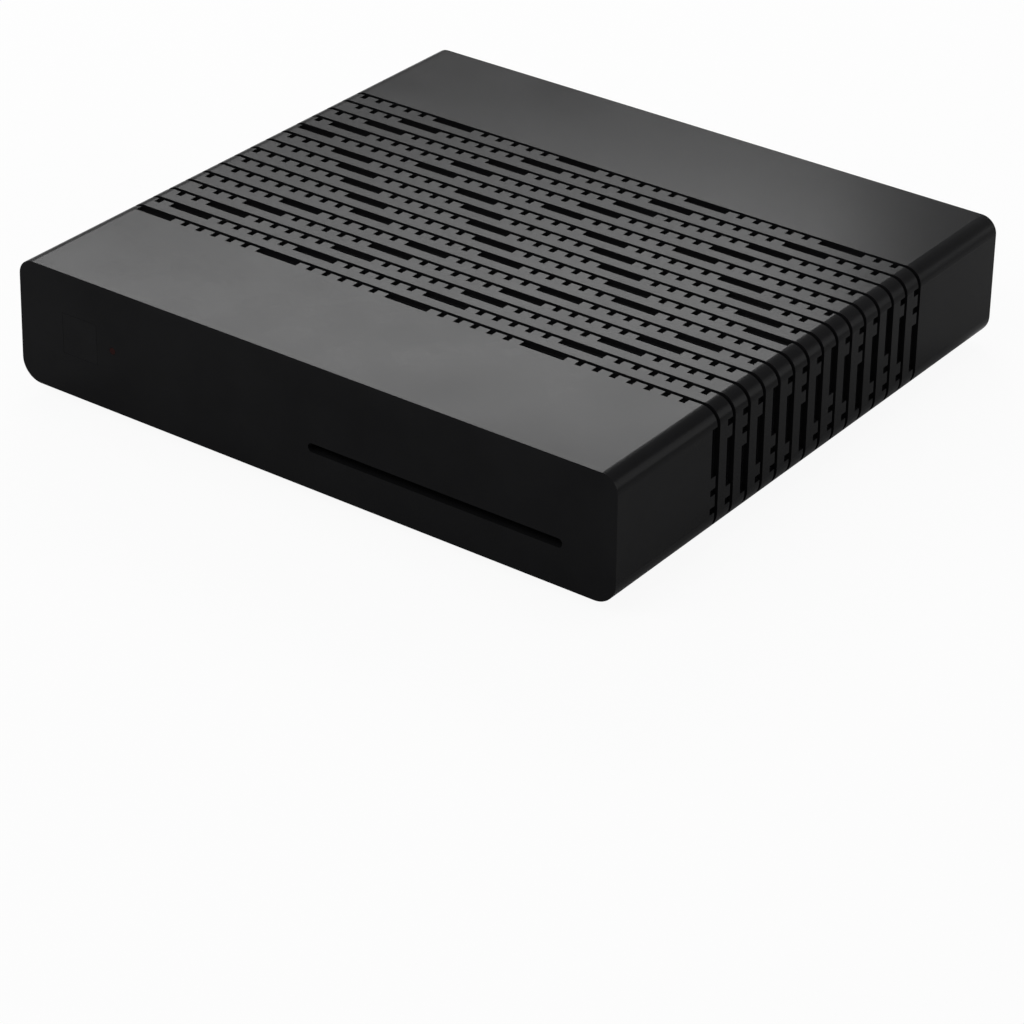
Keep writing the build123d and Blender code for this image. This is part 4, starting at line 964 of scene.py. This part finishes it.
# ---- studio ----
studioSettings = {
    "floorHex": "#dedede",
    "floorHalf": 3.0,          # metres from the middle to an edge
    "floorGap": 0.05,          # millimetres below the feet, so that the two faces don't flicker
    "seen": 0.93,              # share of plain white that the camera sees on the floor; the rest keeps the shadow
    "mirrored": 0.05,          # the same share in reflections, where the floor is the darker for the receiver's shadow
    "worldHex": "#fcfcfc",
    "worldLevel": 0.283,
    "worldMirrored": 0.565,
}

# area lamps: place, aim and size in metres, power in watts
lampBoxes = {
    # long, behind the receiver and along its width, where the front of the top mirrors it
    "keyBox": {"place": (-0.47, 0.5, 0.43), "aim": (-0.05, -0.06, 0.03), "size": (0.48, 0.13), "power": 2.55},
    # upright, its light runs along the rounded right edge
    "rimBox": {"place": (0.57, 0.5, 0.22), "aim": (-0.05, -0.06, 0.03), "size": (0.2, 0.4), "power": 0.6},
    # straight above, for the rounded upper edges
    "overBox": {"place": (0.0, 0.1, 1.2), "aim": (0, 0, 0), "size": (0.5, 0.5), "power": 3.0},
    # wide and low behind, for the rear panel
    "rearBox": {"place": (0.2, 1.3, 0.24), "aim": (0, 0, 0), "size": (1.3, 0.36), "power": 3.1},
    # large, in front, for the front wall
    "fillBox": {"place": (-0.35, -0.9, 1.0), "aim": (0, 0, 0), "size": (0.9, 0.9), "power": 7.6},
}


def softbox(name, place, aim, size, power):
    # a rectangular lamp that faces its aim; size is its level side and its other side
    data = bpy.data.lights.new(name, "AREA")
    data.shape, data.energy = "RECTANGLE", power
    data.size, data.size_y = size
    lamp = bpy.data.objects.new(name, data)
    lamp.visible_camera = False
    back = (Vector(place) - Vector(aim)).normalized()
    lamp.matrix_world = Matrix.Translation(Vector(place)) @ back.to_track_quat("Z", "Y").to_matrix().to_4x4()
    bpy.context.scene.collection.objects.link(lamp)


def whiteShare(tree, seen, mirrored, other):
    # one level for camera and transmission rays, one for reflected rays and one for all others
    path = addNode(tree, "ShaderNodeLightPath")
    straight = {0: path.outputs["Is Camera Ray"], 1: path.outputs["Is Transmission Ray"]}
    direct = addNode(tree, "ShaderNodeMath", None, straight, operation="MAXIMUM")
    glossy = addNode(tree, "ShaderNodeMapRange", {3: other, 4: mirrored}, {0: path.outputs["Is Glossy Ray"]})
    return addNode(tree, "ShaderNodeMapRange", {4: seen}, {0: direct, 3: glossy})


def paleFloor(s):
    mesh = bpy.data.meshes.new("studioFloor")
    half, z = s["floorHalf"], -s["floorGap"] * mm
    mesh.from_pydata([(-half, -half, z), (half, -half, z), (half, half, z), (-half, half, z)], [], [(0, 1, 2, 3)])
    floor = bpy.data.objects.new("studioFloor", mesh)
    bpy.context.scene.collection.objects.link(floor)
    material = bpy.data.materials.new("paleStudioFloor")
    material.use_nodes = True
    tree = material.node_tree
    tree.nodes.clear()
    share = whiteShare(tree, s["seen"], s["mirrored"], 0.0)
    matt = addNode(tree, "ShaderNodeBsdfDiffuse", {0: hexToLinear(s["floorHex"])})
    white = addNode(tree, "ShaderNodeEmission", {"Color": (1, 1, 1, 1), "Strength": 1.0})
    both = addNode(tree, "ShaderNodeMixShader", None, {0: share, 1: matt, 2: white})
    addNode(tree, "ShaderNodeOutputMaterial", None, {0: both})
    mesh.materials.append(material)


def paleWorld(s):
    world = bpy.data.worlds.new("studioWorld")
    bpy.context.scene.world = world
    world.use_nodes = True
    tree = world.node_tree
    tree.nodes.clear()
    level = whiteShare(tree, 1.0, s["worldMirrored"], s["worldLevel"])
    light = addNode(tree, "ShaderNodeBackground", {0: hexToLinear(s["worldHex"])}, {1: level})
    addNode(tree, "ShaderNodeOutputWorld", None, {0: light})


paleFloor(studioSettings)
paleWorld(studioSettings)
for name, box in lampBoxes.items():
    softbox(name, **box)
bpy.context.scene.view_settings.view_transform = "Standard"
print("stage 6: studio")
